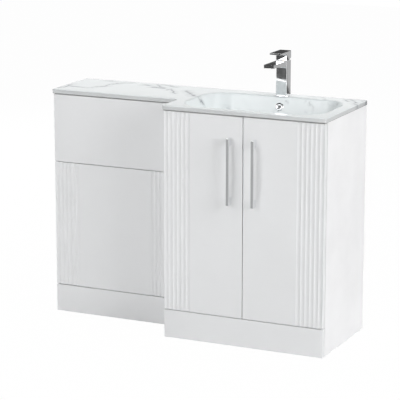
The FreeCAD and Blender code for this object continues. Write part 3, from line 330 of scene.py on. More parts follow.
class Graph:
    """A node tree with short calls that add nodes and join them."""

    def __init__(self, tree):
        self.tree = tree

    def feed(self, sockets, values):
        """Join sockets to wires or set their plain values, by name or place."""
        for key, value in values.items():
            if isinstance(value, Wire):
                self.tree.links.new(value.socket, sockets[key])
            else:
                sockets[key].default_value = value

    def add(self, kind, values=None, **options):
        """A node with its options set and its inputs fed."""
        node = self.tree.nodes.new(kind)
        for name, value in options.items():
            setattr(node, name, value)
        self.feed(node.inputs, values or {})
        return Outputs(self, node)

    def math(self, operation, *values):
        """One sum on numbers."""
        return self.add("ShaderNodeMath", dict(enumerate(values)), operation=operation)[0]

    def vector(self, operation, *values):
        """One sum on vectors."""
        return self.add("ShaderNodeVectorMath", dict(enumerate(values)),
                        operation=operation)[0]

    def measure(self, operation, *values):
        """One number measured on vectors."""
        return self.add("ShaderNodeVectorMath", dict(enumerate(values)),
                        operation=operation)["Value"]

    def scaled(self, vector, factor):
        """A vector times a number."""
        return self.add("ShaderNodeVectorMath", {0: vector, "Scale": factor},
                        operation="SCALE")[0]

    def point(self, x, y, z):
        """A vector from three numbers."""
        return self.add("ShaderNodeCombineXYZ", {0: x, 1: y, 2: z})[0]

    def parts(self, vector):
        """The three numbers of a vector."""
        return self.add("ShaderNodeSeparateXYZ", {0: vector})

    def clamp(self, value):
        """A number kept between 0 and 1."""
        return self.add("ShaderNodeClamp", {0: value})[0]

    def mix(self, factor, first, second):
        """A blend of two colours."""
        return self.add("ShaderNodeMix", {0: factor, 6: first, 7: second}, data_type="RGBA")[2]

    def span(self, value, start, end, new_start=0.0, new_end=1.0):
        """A number mapped from one span to another and kept within it."""
        return self.add("ShaderNodeMapRange", {0: value, 1: start, 2: end, 3: new_start,
                                               4: new_end})[0]

    def noise(self, place, scale, detail, roughness):
        """A noise, as a number and as a colour."""
        return self.add("ShaderNodeTexNoise", {"Vector": place, "Scale": scale,
                                               "Detail": detail, "Roughness": roughness})

    def effect(self, group, values):
        """A shared shader group placed with its own values."""
        return self.add("ShaderNodeGroup", values, node_tree=group())


def opaque(colour):
    """A colour with full alpha."""
    return (*colour, 1.0)


def build_group(name, kind, inputs, outputs, fill):
    """A node group, each input given by its default or, as a word, by its kind of socket."""
    tree = bpy.data.node_groups.new(name, kind)
    for label, default in inputs.items():
        plain = not isinstance(default, str)
        word = type(default).__name__.capitalize() if plain else default
        socket = tree.interface.new_socket(name=label, in_out="INPUT",
                                           socket_type=f"NodeSocket{word}")
        if plain:
            socket.default_value = default
    for label, word in outputs.items():
        tree.interface.new_socket(name=label, in_out="OUTPUT", socket_type=f"NodeSocket{word}")
    graph = Graph(tree)
    graph.feed(tree.nodes.new("NodeGroupOutput").inputs,
               fill(graph, graph.add("NodeGroupInput")))
    return tree


def node_group(name, kind, inputs, outputs):
    """Turn a function that fills a node group into one that gives the group, built once."""
    def wrap(fill):
        def group():
            return bpy.data.node_groups.get(name) or build_group(name, kind, inputs, outputs,
                                                                 fill)
        group.__doc__ = fill.__doc__
        return group
    return wrap


@node_group("Soft mottle", "ShaderNodeTree",
            {"Vector": "Vector", "Scale": 4.0, "First": "Color", "Second": "Color"},
            {"Colour": "Color", "Mask": "Float"})
def soft_mottle(graph, given):
    """Slow drift of a colour between two tones."""
    mask = graph.span(graph.noise(given["Vector"], given["Scale"], 4.0, 0.55)[0], 0.35, 0.68)
    return {"Colour": graph.mix(mask, given["First"], given["Second"]), "Mask": mask}


def raised(graph, noise, height):
    """Normals and mask of a noise that stands up to a height."""
    bump = graph.add("ShaderNodeBump", {"Strength": 1.0, "Distance": 1.0,
                                        "Height": noise * height})
    return {"Normal": bump["Normal"], "Mask": noise}


@node_group("Fine grain", "ShaderNodeTree",
            {"Vector": "Vector", "Scale": 900.0, "Height": 0.00002},
            {"Normal": "Vector", "Mask": "Float"})
def fine_grain(graph, given):
    """Small even bumps, as on paint, foil or moulded plastic."""
    return raised(graph, graph.noise(given["Vector"], given["Scale"], 2.0, 0.5)[0],
                  given["Height"])


@node_group("Brushed lines", "ShaderNodeTree",
            {"Vector": "Vector", "Stretch": "Vector", "Height": 0.00001},
            {"Normal": "Vector", "Mask": "Float"})
def brushed_lines(graph, given):
    """Fine parallel scratches that run along one axis."""
    stretched = graph.vector("MULTIPLY", given["Vector"], given["Stretch"])
    return raised(graph, graph.noise(stretched, 1.0, 3.0, 0.6)[0], given["Height"])


@node_group("Drifting vein", "ShaderNodeTree",
            {"Vector": "Vector", "Scale": 3.0, "Width": 0.04, "Cover": 0.5}, {"Mask": "Float"})
def drifting_vein(graph, given):
    """One set of thin wandering veins, dark along their middle lines."""
    field = graph.noise(given["Vector"], given["Scale"], 3.0, 0.5)[0]
    line = 1.0 - graph.math("ABSOLUTE", field - 0.5) / given["Width"]
    patches = graph.noise(given["Vector"], 5.0, 1.0, 0.5)[0]
    gate = graph.span(patches - given["Cover"], 0.0, 0.12)
    return {"Mask": graph.math("MAXIMUM", line, 0.0) * gate}


@node_group("Wavering", "ShaderNodeTree", {"Vector": "Vector", "Scale": 30.0, "Reach": 0.02},
            {"Vector": "Vector", "Patches": "Float"})
def wavering(graph, given):
    """Coordinates seen from above and pushed about, so that what follows them wavers."""
    push = graph.noise(given["Vector"], given["Scale"], 5.0, 0.62)["Color"]
    push = graph.scaled(graph.vector("SUBTRACT", push, (0.5, 0.5, 0.5)), given["Reach"])
    moved = graph.vector("ADD", given["Vector"], push)
    patches = graph.noise(given["Vector"], 55.0, 3.0, 0.6)[0]
    return {"Vector": graph.vector("MULTIPLY", moved, (1.0, 1.0, 0.0)),
            "Patches": graph.span(patches, 0.36, 0.58, 0.5, 1.0)}


@node_group("Vein stroke", "ShaderNodeTree",
            {"Vector": "Vector", "Start": "Vector", "End": "Vector", "Width": 0.005,
             "Strength": 0.5, "Others": 0.0}, {"Mask": "Float"})
def vein_stroke(graph, given):
    """One run of a vein between two places, dark along its middle with a soft halo."""
    run = graph.vector("SUBTRACT", given["End"], given["Start"])
    behind = graph.vector("SUBTRACT", given["Vector"], given["Start"])
    along = graph.clamp(graph.measure("DOT_PRODUCT", behind, run)
                        / graph.measure("DOT_PRODUCT", run, run))
    away = graph.measure("LENGTH", graph.vector("SUBTRACT", behind, graph.scaled(run, along)))
    core = graph.span(away, 0.0, given["Width"] * 1.5, 1.0, 0.0)
    halo = graph.span(away, 0.0, given["Width"] * 3.4, 0.4, 0.0)
    mask = graph.math("MAXIMUM", core, halo) * given["Strength"]
    return {"Mask": graph.math("MAXIMUM", mask, given["Others"])}


# Materials

def new_material(name):
    """A material with its graph, its main shader and the object's coordinates."""
    material = bpy.data.materials.new(name)
    material.use_nodes = True
    graph = Graph(material.node_tree)
    shader = material.node_tree.nodes["Principled BSDF"]
    return material, graph, shader.inputs, graph.add("ShaderNodeTexCoord")["Object"]


def tones(colour, share_left):
    """A colour and a darker one that keeps a share of it, for a mottle."""
    return {"First": opaque(colour), "Second": opaque(level * share_left for level in colour)}


def grained(name, scale, pair, grain_scale, height, roughness, bloom=False):
    """Paint, foil, plastic or rubber: slow drift of tone under small even bumps."""
    material, graph, shader, place = new_material(name)
    mottle = graph.effect(soft_mottle, {"Vector": place, "Scale": scale, **pair})
    grain = graph.effect(fine_grain, {"Vector": place, "Scale": grain_scale,
                                      "Height": height})
    dull = (graph.span(mottle["Mask"], 0.0, 1.0, *roughness) if bloom
            else graph.span(grain["Mask"], 0.2, 0.8, *roughness))
    graph.feed(shader, {"Base Color": mottle["Colour"], "Roughness": dull,
                        "Normal": grain["Normal"]})
    return material


def satin_front(name):
    """White satin foil: a faint orange peel and slight drift of tone and gloss."""
    fronts = settings()[0]
    material = grained(name, 5.0, tones(fronts.colour, 0.985), 1400.0, 0.000012,
                       (fronts.sheen - 0.04, fronts.sheen + 0.05))
    material.node_tree.nodes["Principled BSDF"].inputs["IOR"].default_value = 1.45
    return material


# Runs of the veins in plan, in millimetres: start, end, half width, strength
VEINS = (
    (-549, -18, -538, 4, 7, 0.85), (-536, 0, -540, 62, 8, 0.75), (-529, 25, -469, 22, 7, 0.85),
    (-453, 20, -436, 28, 7, 0.75), (-433, 49, -408, 78, 9, 0.75),
    (-408, 78, -413, 122, 7, 0.65),
    (-448, 190, -442, 192, 9, 0.9), (-405, 133, -379, 172, 9, 0.8),
    (-379, 172, -357, 182, 8, 0.65), (-295, 163, -273, 160, 9, 0.85),
    (-243, 133, -198, 128, 8, 0.98), (-252, 187, -221, 148, 6, 0.78),
    (-221, 148, -196, 134, 7, 0.98), (-234, 196, -201, 185, 6, 0.78),
    (-201, 185, -165, 170, 7, 0.78), (-171, 100, -164, 123, 7, 0.78),
    (-164, 123, -111, 42, 6, 0.91), (-94, 108, -29, 29, 10, 1.0), (-29, 29, -7, 20, 3.5, 0.6),
    (-7, 20, 6, 46, 2.6, 0.8), (52, 121, 66, 124, 2.5, 0.4), (273, 143, 285, 140, 1.6, 0.35),
    (341, 143, 352, 146, 1.6, 0.2), (364, 145, 373, 141, 2.2, 0.41),
    (373, 141, 381, 133, 2.2, 0.37), (353, 132, 362, 129, 2, 0.2),
    (352, 193, 395, 198, 6, 0.5), (395, 198, 421, 155, 5.5, 0.42),
    (423, 204, 428, 200, 7, 0.6),
    (458, 157, 478, 127, 3.5, 0.36), (433, 144, 470, 131, 2.4, 0.18),
    (482, 184, 506, 153, 6, 0.85),
    (511, 182, 541, 141, 7, 0.9), (541, 141, 541, 115, 7, 0.75), (490, 188, 522, 203, 7, 0.85),
    (522, 203, 556, 197, 7, 0.85), (551, 174, 558, 191, 9, 0.8), (550, 104, 560, 104, 7, 0.85),
)


def cast_marble(name):
    """Glossy cast marble: a cool white ground with soft grey veins under a clear coat."""
    top = settings()[2]
    material, graph, shader, place = new_material(name)
    ground = graph.effect(soft_mottle, {"Vector": place, "Scale": 3.5,
                                        **tones(top.colour, 0.975)})
    rise = graph.parts(graph.add("ShaderNodeTexCoord")["Normal"])[2]
    # Painted shade: faces that stand upright take a darker grey than the top, for the lesser
    # light that falls on them
    upright = graph.span(graph.math("ABSOLUTE", rise), 0.12, 0.3, 1.0, 0.0)
    seen = graph.mix(upright, ground["Colour"], opaque(top.side))
    # Painted shadow: faces that look down take a dark grey, for the shadow under the slab's
    # lower edge
    plain = graph.mix(graph.span(rise, -0.45, -0.2, 1.0, 0.0), seen, opaque(top.under))
    turned = graph.add("ShaderNodeMapping", {
        "Vector": place, "Rotation": (0.3, 0.5, math.radians(38)), "Scale": (1.0, 0.45, 1.0)})
    broad = graph.effect(drifting_vein, {"Vector": turned[0], "Scale": 3.2, "Width": 0.05,
                                         "Cover": 0.47})
    waver = graph.effect(wavering, {"Vector": place, "Scale": 30.0, "Reach": 0.026})
    mask = broad["Mask"] * 0.04
    for start_x, start_y, end_x, end_y, width, strength in VEINS:
        mask = graph.effect(vein_stroke, {
            "Vector": waver["Vector"], "Start": (start_x * MM, start_y * MM, 0.0),
            "End": (end_x * MM, end_y * MM, 0.0), "Width": width * MM, "Strength": strength,
            "Others": mask})["Mask"]
    graph.feed(shader, {
        "Base Color": graph.mix(mask * waver["Patches"], plain, opaque(top.vein)),
        "Roughness": graph.span(ground["Mask"], 0.0, 1.0, 0.2, 0.27), "IOR": 1.5,
        "Coat Weight": 0.25, "Coat Roughness": 0.1})
    return material


def polished_metal(name, colour, rough, smear):
    """Polished plating with faint wiping marks."""
    material, graph, shader, place = new_material(name)
    mottle = graph.effect(soft_mottle, {"Vector": place, "Scale": 22.0, **tones(colour, 0.94)})
    lines = graph.effect(brushed_lines, {
        "Vector": place, "Stretch": (700.0, 700.0, 45.0), "Height": 0.0000012})
    graph.feed(shader, {
        "Base Color": mottle["Colour"], "Metallic": 1.0, "Normal": lines["Normal"],
        "Roughness": graph.span(mottle["Mask"], 0.0, 1.0, rough, rough + smear)})
    return material


def bright_chrome(name):
    """Mirror chrome of the mixer and waste."""
    return polished_metal(name, settings()[3].chrome, 0.05, 0.05)


def satin_chrome(name):
    """Brushed chrome of the handles, its lines running up the bar."""
    material, graph, shader, place = new_material(name)
    pair = tones(settings()[3].satin, 0.9)
    lines = graph.effect(brushed_lines, {
        "Vector": place, "Stretch": (2600.0, 2600.0, 60.0), "Height": 0.000006})
    graph.feed(shader, {
        "Base Color": graph.mix(lines["Mask"], pair["Second"], pair["First"]),
        "Metallic": 1.0, "Roughness": graph.span(lines["Mask"], 0.0, 1.0, 0.04, 0.08),
        "Normal": lines["Normal"]})
    return material


def grey_pair(first, second):
    """Two picked colours for a mottle."""
    return {"First": opaque(shade(*first)), "Second": opaque(shade(*second))}


# The record's slots: the material's name, what makes it and with which values
FINISHES = {
    "fronts": ("Satin front", satin_front),
    "boards": ("Melamine board", grained, 9.0, grey_pair((238, 238, 239), (234, 234, 235)),
               650.0, 0.00005, (0.46, 0.6)),
    "cast_marble": ("Cast marble", cast_marble),
    "polished_chrome": ("Bright chrome", bright_chrome),
    "handle_metal": ("Satin chrome", satin_chrome),
    "hinge_steel": ("Nickel steel", polished_metal, shade(190, 188, 184), 0.2, 0.12),
    "zinc_steel": ("Zinc steel", polished_metal, shade(176, 181, 188), 0.34, 0.18),
    "bare_brass": ("Turned brass", polished_metal, shade(206, 172, 104), 0.22, 0.12),
    "white_plastic": ("White plastic", grained, 30.0,
                      grey_pair((236, 236, 233), (230, 230, 226)), 2200.0, 0.00001,
                      (0.36, 0.48)),
    "soft_rubber": ("Black rubber", grained, 60.0, grey_pair((48, 48, 48), (66, 66, 65)),
                    1800.0, 0.00004, (0.6, 0.75), True),
}


def kept_material(name, build, *values):
    """A material by name, built the first time it is asked for."""
    return bpy.data.materials.get(name) or build(name, *values)


def finish(slot):
    """The material of one of the record's slots."""
    return kept_material(*FINISHES[slot])


# Pieces

def new_piece(name, data):
    """An object in the scene for a finished mesh, lamp or camera."""
    piece = bpy.data.objects.new(name, data)
    bpy.context.scene.collection.objects.link(piece)
    return piece


def mesh_piece(name, bm):
    """A piece from a bmesh, its doubles merged and its faces turned outwards."""
    bmesh.ops.remove_doubles(bm, verts=bm.verts, dist=MERGE_DISTANCE)
    bmesh.ops.recalc_face_normals(bm, faces=bm.faces)
    mesh = bpy.data.meshes.new(name)
    bm.to_mesh(mesh)
    bm.free()
    return new_piece(name, mesh)


def settle(piece):
    """Turn what a piece's modifiers make into its plain mesh."""
    bpy.context.view_layer.update()
    seen = piece.evaluated_get(bpy.context.evaluated_depsgraph_get())
    mesh = bpy.data.meshes.new_from_object(seen)
    piece.modifiers.clear()
    piece.data = mesh
    mesh.name = piece.name
    return piece


def smooth(piece, sharp=30):
    """Shade a piece smoothly except over edges sharper than an angle."""
    piece.data.shade_smooth()
    piece.data.set_sharp_from_angle(angle=math.radians(sharp))
    return piece


def soften(piece, width, angle):
    """Round a piece's edges that are sharper than an angle and keep its flats flat."""
    piece.data.shade_smooth()
    bevel = piece.modifiers.new("Rounded edges", "BEVEL")
    bevel.width = width
    bevel.segments = SOFT_STEPS
    bevel.limit_method = "ANGLE"
    bevel.angle_limit = math.radians(angle)
    bevel.harden_normals = True
    return settle(piece)


def combine(piece, tool, operation):
    """Join a piece with another solid or cut that solid out of it."""
    change = piece.modifiers.new("Solid", "BOOLEAN")
    change.operation = operation
    change.solver = "EXACT"
    change.object = tool
    settle(piece)
    bpy.data.objects.remove(tool)
    return piece


def drill(piece, centre, radius, low_z, high_z, count=DRILL_SIDES):
    """Cut an upright round hole in a piece."""
    rings = [circle_ring(centre, radius, z, count) for z in (low_z, high_z)]
    return combine(piece, capped_solid("drill", rings), "DIFFERENCE")


def stand_for(piece, body, slot, *nodes):
    """Give a piece its finish, its body and the nodes that it stands for."""
    piece.data.materials.clear()
    piece.data.materials.append(finish(slot))
    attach(piece, body)
    if nodes:
        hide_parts(*nodes)
    return piece


def rings_mesh(bm, rings):
    """Faces between closed rings of points that have the same count."""
    rows = [[bm.verts.new(point) for point in ring] for ring in rings]
    for first, second in zip(rows, rows[1:]):
        for k in range(len(first)):
            after = (k + 1) % len(first)
            bm.faces.new((first[k], first[after], second[after], second[k]))
    return rows


def capped_solid(name, rings, matrix=Matrix()):
    """A closed solid through rings, with a flat cap on each end, moved by a matrix."""
    bm = bmesh.new()
    rows = rings_mesh(bm, rings)
    bm.faces.new(rows[0])
    bm.faces.new(rows[-1])
    bmesh.ops.transform(bm, matrix=matrix, verts=bm.verts)
    return mesh_piece(name, bm)


def fill_between(bm, *rows):
    """Flat faces between an outer ring of vertices and the rings inside it."""
    corners = [corner for row in rows for corner in row]
    for triangle in tessellate_polygon([[corner.co for corner in row] for row in rows]):
        if len(set(triangle)) == 3 and not bm.faces.get([corners[k] for k in triangle]):
            bm.faces.new([corners[k] for k in triangle])


def circle_ring(centre, radius, z, count):
    """Points round a level circle."""
    return [Vector((centre[0] + radius * math.cos(2 * math.pi * k / count),
                    centre[1] + radius * math.sin(2 * math.pi * k / count), z))
            for k in range(count)]


def corner_ring(half_x, half_y, radius, z, centre, steps=8):
    """Points round a level rectangle with round corners."""
    points = []
    for k, (side_x, side_y) in enumerate(((1, 1), (-1, 1), (-1, -1), (1, -1))):
        for step in range(steps + 1):
            angle = math.pi / 2 * (k + step / steps)
            points.append(Vector((
                centre[0] + side_x * (half_x - radius) + radius * math.cos(angle),
                centre[1] + side_y * (half_y - radius) + radius * math.sin(angle), z)))
    return points


def profile_solid(name, outline, width, centre_x):
    """A solid whose side view is an outline of y and z places."""
    bm = bmesh.new()
    sides = [[bm.verts.new((centre_x + side * width / 2, y, z)) for y, z in outline]
             for side in (LEFT, RIGHT)]
    bm.faces.new(sides[0])
    bm.faces.new(list(reversed(sides[1])))
    for k in range(len(outline)):
        after = (k + 1) % len(outline)
        bm.faces.new((sides[0][k], sides[1][k], sides[1][after], sides[0][after]))
    return mesh_piece(name, bm)


def leant(centre, tilt):
    """The move that leans an upright axis forwards and puts it in its place."""
    return Matrix.Translation(centre) @ Matrix.Rotation(tilt, 4, "X")


def turned_solid(name, profile, centre, tilt=0.0, count=TURNED_SIDES):
    """A solid turned about an upright axis, then leant and put in its place."""
    bm = bmesh.new()
    rings = [circle_ring((0, 0), max(radius, POLE_RADIUS), z, count) for radius, z in profile]
    rings_mesh(bm, rings + rings[:1])
    bmesh.ops.transform(bm, matrix=leant(centre, tilt), verts=bm.verts)
    return mesh_piece(name, bm)


def arc_points(centre, radius, start, end, steps):
    """Points along an arc in the side view, its angles in degrees."""
    angles = [math.radians(start + (end - start) * k / steps) for k in range(steps + 1)]
    return [(centre[0] + radius * math.cos(angle), centre[1] + radius * math.sin(angle))
            for angle in angles]


def dressed(graph, geometry, material):
    """The end of a geometry tree: real faces with their material."""
    solid = graph.add("GeometryNodeRealizeInstances", {0: geometry})
    return {"Geometry": graph.add("GeometryNodeSetMaterial", {
        "Geometry": solid[0], "Material": material})[0]}


def tree_piece(name, tree, inputs, mesh=None):
    """A plain mesh made by a geometry node tree with its named inputs set."""
    piece = new_piece(name, mesh or bpy.data.meshes.new(name))
    maker = piece.modifiers.new("Maker", "NODES")
    maker.node_group = tree
    for socket in tree.interface.items_tree:
        if socket.item_type == "SOCKET" and socket.in_out == "INPUT" and socket.name in inputs:
            maker[socket.identifier] = inputs[socket.name]
    return settle(piece)


# Fronts

@node_group("Fluted front", "GeometryNodeTree", {
    "Width": 0.3, "Height": 0.7, "Thickness": 0.018, "Edge": 0.001, "Pitch": 0.0165,
    "Land": 0.0004, "Depth": 0.0025, "Grooves": 6.0, "First band": 0.001,
    "Second band": 0.2, "Columns": 200, "Corner": "Vector", "Material": "Material"},
    {"Geometry": "Geometry"})
def fluted_front(graph, given):
    """A board with rounded edges and up to two bands of hollow grooves down its face."""
    edge, depth, pitch = given["Edge"], given["Depth"], given["Pitch"]
    last_column = given["Columns"] - 1.0
    half_columns = last_column * 0.5
    cube = graph.add("GeometryNodeMeshCube", {
        "Size": graph.point(last_column, 1.0, FRONT_ROWS - 1.0),
        "Vertices X": given["Columns"], "Vertices Y": 2, "Vertices Z": FRONT_ROWS})
    place = graph.parts(graph.add("GeometryNodeInputPosition")[0])
    side_x, side_z = graph.math("SIGN", place[0]), graph.math("SIGN", place[2])
    from_side = half_columns - graph.math("ABSOLUTE", place[0])
    from_end = (FRONT_ROWS - 1) / 2 - graph.math("ABSOLUTE", place[2])

    # The first rows and columns from each side lie on the quarter round of the edge
    quarter = math.pi / 2 / EDGE_STEPS
    lean_x, lean_z = (graph.math("COSINE", graph.math("MINIMUM", away, EDGE_STEPS) * quarter)
                      for away in (from_side, from_end))
    lean = graph.point(side_x * lean_x, 0.0, side_z * lean_z)
    reach = graph.measure("LENGTH", lean)
    offset = graph.parts(graph.scaled(lean, 1.0 / graph.math("MAXIMUM", reach, 1.0) * edge))
    shortfall = graph.math("MINIMUM", reach, 1.0) * edge
    edge_drop = edge - graph.math("SQRT", graph.math(
        "MAXIMUM", edge * edge - shortfall * shortfall, 0.0))
    along = graph.clamp((place[0] + half_columns - EDGE_STEPS)
                        / (last_column - EDGE_STEPS * 2.0))
    x = edge + along * (given["Width"] - edge * 2.0) + offset[0]
    rise = graph.clamp(from_end - EDGE_STEPS) * FRONT_GUARD
    half_height = given["Height"] * 0.5
    z = half_height + side_z * (half_height - (edge + rise)) + offset[2]

    # A groove is an arc through its depth and both edges of its chord
    chord = (pitch - given["Land"]) * 0.5
    radius = (chord * chord + depth * depth) / (depth * 2.0)
    groove = 0.0
    for band in ("First band", "Second band"):
        steps = (x - given[band]) / pitch
        inside = graph.math("GREATER_THAN", steps, 0.0) * graph.math("LESS_THAN", steps,
                                                                     given["Grooves"])
        across = (graph.math("FRACT", steps) - 0.5) * pitch
        fall = graph.math("SQRT", graph.math("MAXIMUM", radius * radius - across * across,
                                             0.0))
        hollow = graph.math("MAXIMUM", fall - (radius - depth), 0.0)
        groove = graph.math("MAXIMUM", groove, hollow * inside)
    at_back = graph.math("GREATER_THAN", place[1], 0.0)
    y = at_back * given["Thickness"] + (1.0 - at_back) * (edge_drop + groove)
    moved = graph.add("GeometryNodeSetPosition", {
        "Geometry": cube["Mesh"],
        "Position": graph.vector("ADD", graph.point(x, y, z), given["Corner"])})
    return dressed(graph, moved[0], given["Material"])


def front(node, bands=()):
    """The fluted or plain front that stands for a node, its bands placed from its left."""
    fronts = settings()[0]
    corner, far = room(node)
    first, second = ([float(start) for start in bands] + [NO_BAND, NO_BAND])[:2]
    return tree_piece(f"{node}_front", fluted_front(), {
        "Width": far.x - corner.x, "Height": far.z - corner.z, "Thickness": far.y - corner.y,
        "Edge": fronts.edge, "Pitch": fronts.pitch, "Land": fronts.land,
        "Depth": fronts.depth, "Grooves": float(fronts.grooves) if bands else 0.0,
        "First band": first, "Second band": second, "Corner": corner,
        "Columns": int((far.x - corner.x) / COLUMN_WIDTH) if bands else PLAIN_COLUMNS,
        "Material": finish("fronts")})


def make_doors():
    """The two doors, grooved by their hinged edges and bored for the hinge cups."""
    fronts = settings()[0]
    band = fronts.pitch * fronts.grooves
    for word, side in (("left", LEFT), ("right", RIGHT)):
        node = f"{word}_door"
        corner, far = room(node)
        start = fronts.margin if side == LEFT else far.x - corner.x - fronts.margin - band
        door = front(node, (start,))
        cup_x = corner.x + fronts.cup_inset if side == LEFT else far.x - fronts.cup_inset
        for z in hinge_heights(word):
            bore = [circle_ring((cup_x, z), fronts.cup_radius, y, BORE_SIDES)
                    for y in (far.y - fronts.cup_depth, far.y + fronts.edge)]
            combine(door, capped_solid("cup_bore", bore, SWAP_YZ), "DIFFERENCE")
        smooth(door)
        stand_for(door, f"{word}_door", "fronts", node)


def hinge_heights(word):
    """The middles of a door's lower and upper hinge, from its mounting plates."""
    lowest, highest = room(f"{word}_hinge_plates")
    return (lowest.z + PLATE_HEIGHT / 2, highest.z - PLATE_HEIGHT / 2)


def make_panels():
    """The panels and plinths of both cupboards."""
    fronts = settings()[0]
    corner, far = room("wc_lower_panel")
    band = fronts.pitch * fronts.grooves
    bands = (fronts.margin, far.x - corner.x - fronts.margin - band)
    for node, starts, body in (("wc_lower_panel", bands, "cabinet"),
                               ("wc_upper_panel", (), "access_panel"),
                               ("wc_infill_strip", (), "cabinet"),
                               ("wc_plinth", (), "cabinet"),
                               ("vanity_plinth", (), "cabinet")):
        stand_for(smooth(front(node, starts)), body, "fronts", node)


# Handles

def make_handles():
    """Square bar handles with a hollow rounded inside and softly rounded outer edges."""
    handles = settings()[1]
    hollow = handles.hollow
    for word in ("left", "right"):
        node = f"{word}_handle"
        corner, far = room(node)
        inner = corner.y + handles.bar + hollow
        top, foot = far.z - handles.post, corner.z + handles.post
        outline = [(far.y, corner.z), (corner.y, corner.z), (corner.y, far.z),
                   (far.y, far.z), (far.y, top),
                   *arc_points((inner, top - hollow), hollow, 90, 180, HOLLOW_STEPS),
                   *arc_points((inner, foot + hollow), hollow, 180, 270, HOLLOW_STEPS),
                   (far.y, foot)]
        handle = profile_solid(f"{word}_bar_handle", outline, far.x - corner.x,
                               (corner.x + far.x) / 2)
        soften(handle, handles.edge, 50)
        stand_for(handle, f"{word}_door", "handle_metal", node)


# Basin top

def turn_corner(corner, before, after, radius, inset, z):
    """Points round one corner of a level outline that is drawn anticlockwise."""
    arriving = (corner - before).normalized()
    leaving = (after - corner).normalized()
    inwards = Vector((-arriving.y, arriving.x))
    turn = 1 if arriving.cross(leaving) > 0 else -1
    centre = corner - arriving * radius + inwards * radius * turn
    start = -inwards * turn * (radius - inset * turn)
    points = []
    for k in range(CORNER_STEPS + 1):
        spin = Matrix.Rotation(math.pi / 2 * k / CORNER_STEPS * turn, 2)
        points.append((centre + spin @ start).to_3d() + Vector((0, 0, z)))
    return points


def slab_ring(inset, z):
    """Points round the L-shaped slab, moved inwards."""
    top = settings()[2]
    corner, far = room("basin_top")
    side = far.x - high("vanity_right_side").x
    overhang = low("left_door").y - corner.y
    step_x = low("vanity_left_side").x - side
    step_y = low("wc_upper_panel").y - overhang
    corners = [Vector(pair) for pair in ((corner.x, step_y), (step_x, step_y),
                                         (step_x, corner.y), (far.x, corner.y),
                                         (far.x, far.y), (corner.x, far.y))]
    points = []
    for k, spot in enumerate(corners):
        points += turn_corner(spot, corners[k - 1], corners[(k + 1) % len(corners)],
                              top.corner, inset, z)
    return points


def bowl_middle():
    """Plan middle of the bowl: over the waste, with its front edge behind the doors."""
    return (BOWL_X, low("left_door").y + BOWL_SETBACK + settings()[2].bowl_width / 2)


def bowl_ring(inset, z):
    """Points round the bowl at a height, moved inwards from its mouth."""
    top = settings()[2]
    return corner_ring(top.bowl_length / 2 - inset, top.bowl_width / 2 - inset,
                       max(top.bowl_corner - inset, top.bowl_root), z, bowl_middle(),
                       BOWL_CORNER_STEPS)


def bowl_profile():
    """The bowl's side view: how far inwards and how far down, from the slab to the floor."""
    top = settings()[2]
    rim, root, lean = top.bowl_rim, top.bowl_root, math.degrees(top.slope)
    reach = math.tan((math.pi / 2 - top.slope) / 2)
    corner_in = math.tan(top.slope) * top.bowl_depth
    return [*arc_points((-rim * reach, rim), rim, -90, -lean, RIM_STEPS),
            *arc_points((corner_in + root * reach, top.bowl_depth - root), root, 180 - lean,
                        90, ROOT_STEPS)]


def dished(point, waste):
    """A point of the bowl's floor, let down towards the waste."""
    top = settings()[2]
    away = math.hypot(point.x - waste.x, point.y - waste.y)
    fall = min(max((top.dish_radius - away) / (top.dish_radius - WASTE_RADIUS), 0), 1)
    ease = fall * fall * (3 - 2 * fall)
    return Vector((point.x, point.y, point.z - top.dish_depth * ease))


def matched_circle(ring, centre, radius):
    """A circle at a ring's height whose points lie in the directions of the ring's."""
    points = []
    for point in ring:
        angle = math.atan2(point.y - centre.y, point.x - centre.x)
        points.append(Vector((centre.x + radius * math.cos(angle),
                              centre.y + radius * math.sin(angle), point.z)))
    return points


def slab_rings():
    """Rings down the slab's rounded sides, from its top face to its underside."""
    top = settings()[2]
    edge, under = top.edge, top.under_edge
    rings = [(edge + GUARD, SLAB_TOP)]
    rings += arc_points((edge, SLAB_TOP - edge), edge, 90, 180, 2 * UNDER_STEPS)
    rings += [(0, SLAB_TOP - edge - GUARD), (0, SLAB_LOW + under + GUARD)]
    rings += arc_points((under, SLAB_LOW + under), under, 180, 270, UNDER_STEPS)
    rings.append((under + GUARD, SLAB_LOW))
    return [slab_ring(inset, z) for inset, z in rings]


def bowl_rings(waste):
    """Rings down the bowl's inside and over its dished floor to the waste hole."""
    top = settings()[2]
    profile = bowl_profile()
    rings = [bowl_ring(profile[0][0] - GUARD, SLAB_TOP)]
    rings += [bowl_ring(inset, SLAB_TOP - down) for inset, down in profile]
    foot = rings[-1]
    hole = matched_circle(foot, waste, WASTE_HOLE / 2)
    for k in range(1, FLOOR_STEPS + 1):
        rings.append([outer.lerp(inner, k / FLOOR_STEPS)
                      for outer, inner in zip(foot, hole)])
    dish_top = foot[0].z + top.bowl_root / 4
    return [[dished(point, waste) if point.z < dish_top else point for point in ring]
            for ring in rings]


def skirt_rings():
    """Rings up the bowl's outside, from under its floor to the slab's underside."""
    top = settings()[2]
    floor_low = SLAB_TOP - top.bowl_depth - top.floor
    lean = math.tan(top.slope)
    wall_top = lean * (SLAB_TOP - SLAB_LOW) - top.wall
    wall_low = lean * (SLAB_TOP - floor_low) - top.wall
    root = top.bowl_root * OUTER_ROOT
    rings = [(wall_low + top.bowl_root + GUARD, floor_low)]
    rings += arc_points((wall_low + root, floor_low + root), root, 270,
                        180 + math.degrees(top.slope), SKIRT_STEPS)
    rings += [(wall_top, SLAB_LOW + GUARD), (wall_top - GUARD, SLAB_LOW)]
    return [bowl_ring(inset, z) for inset, z in rings]


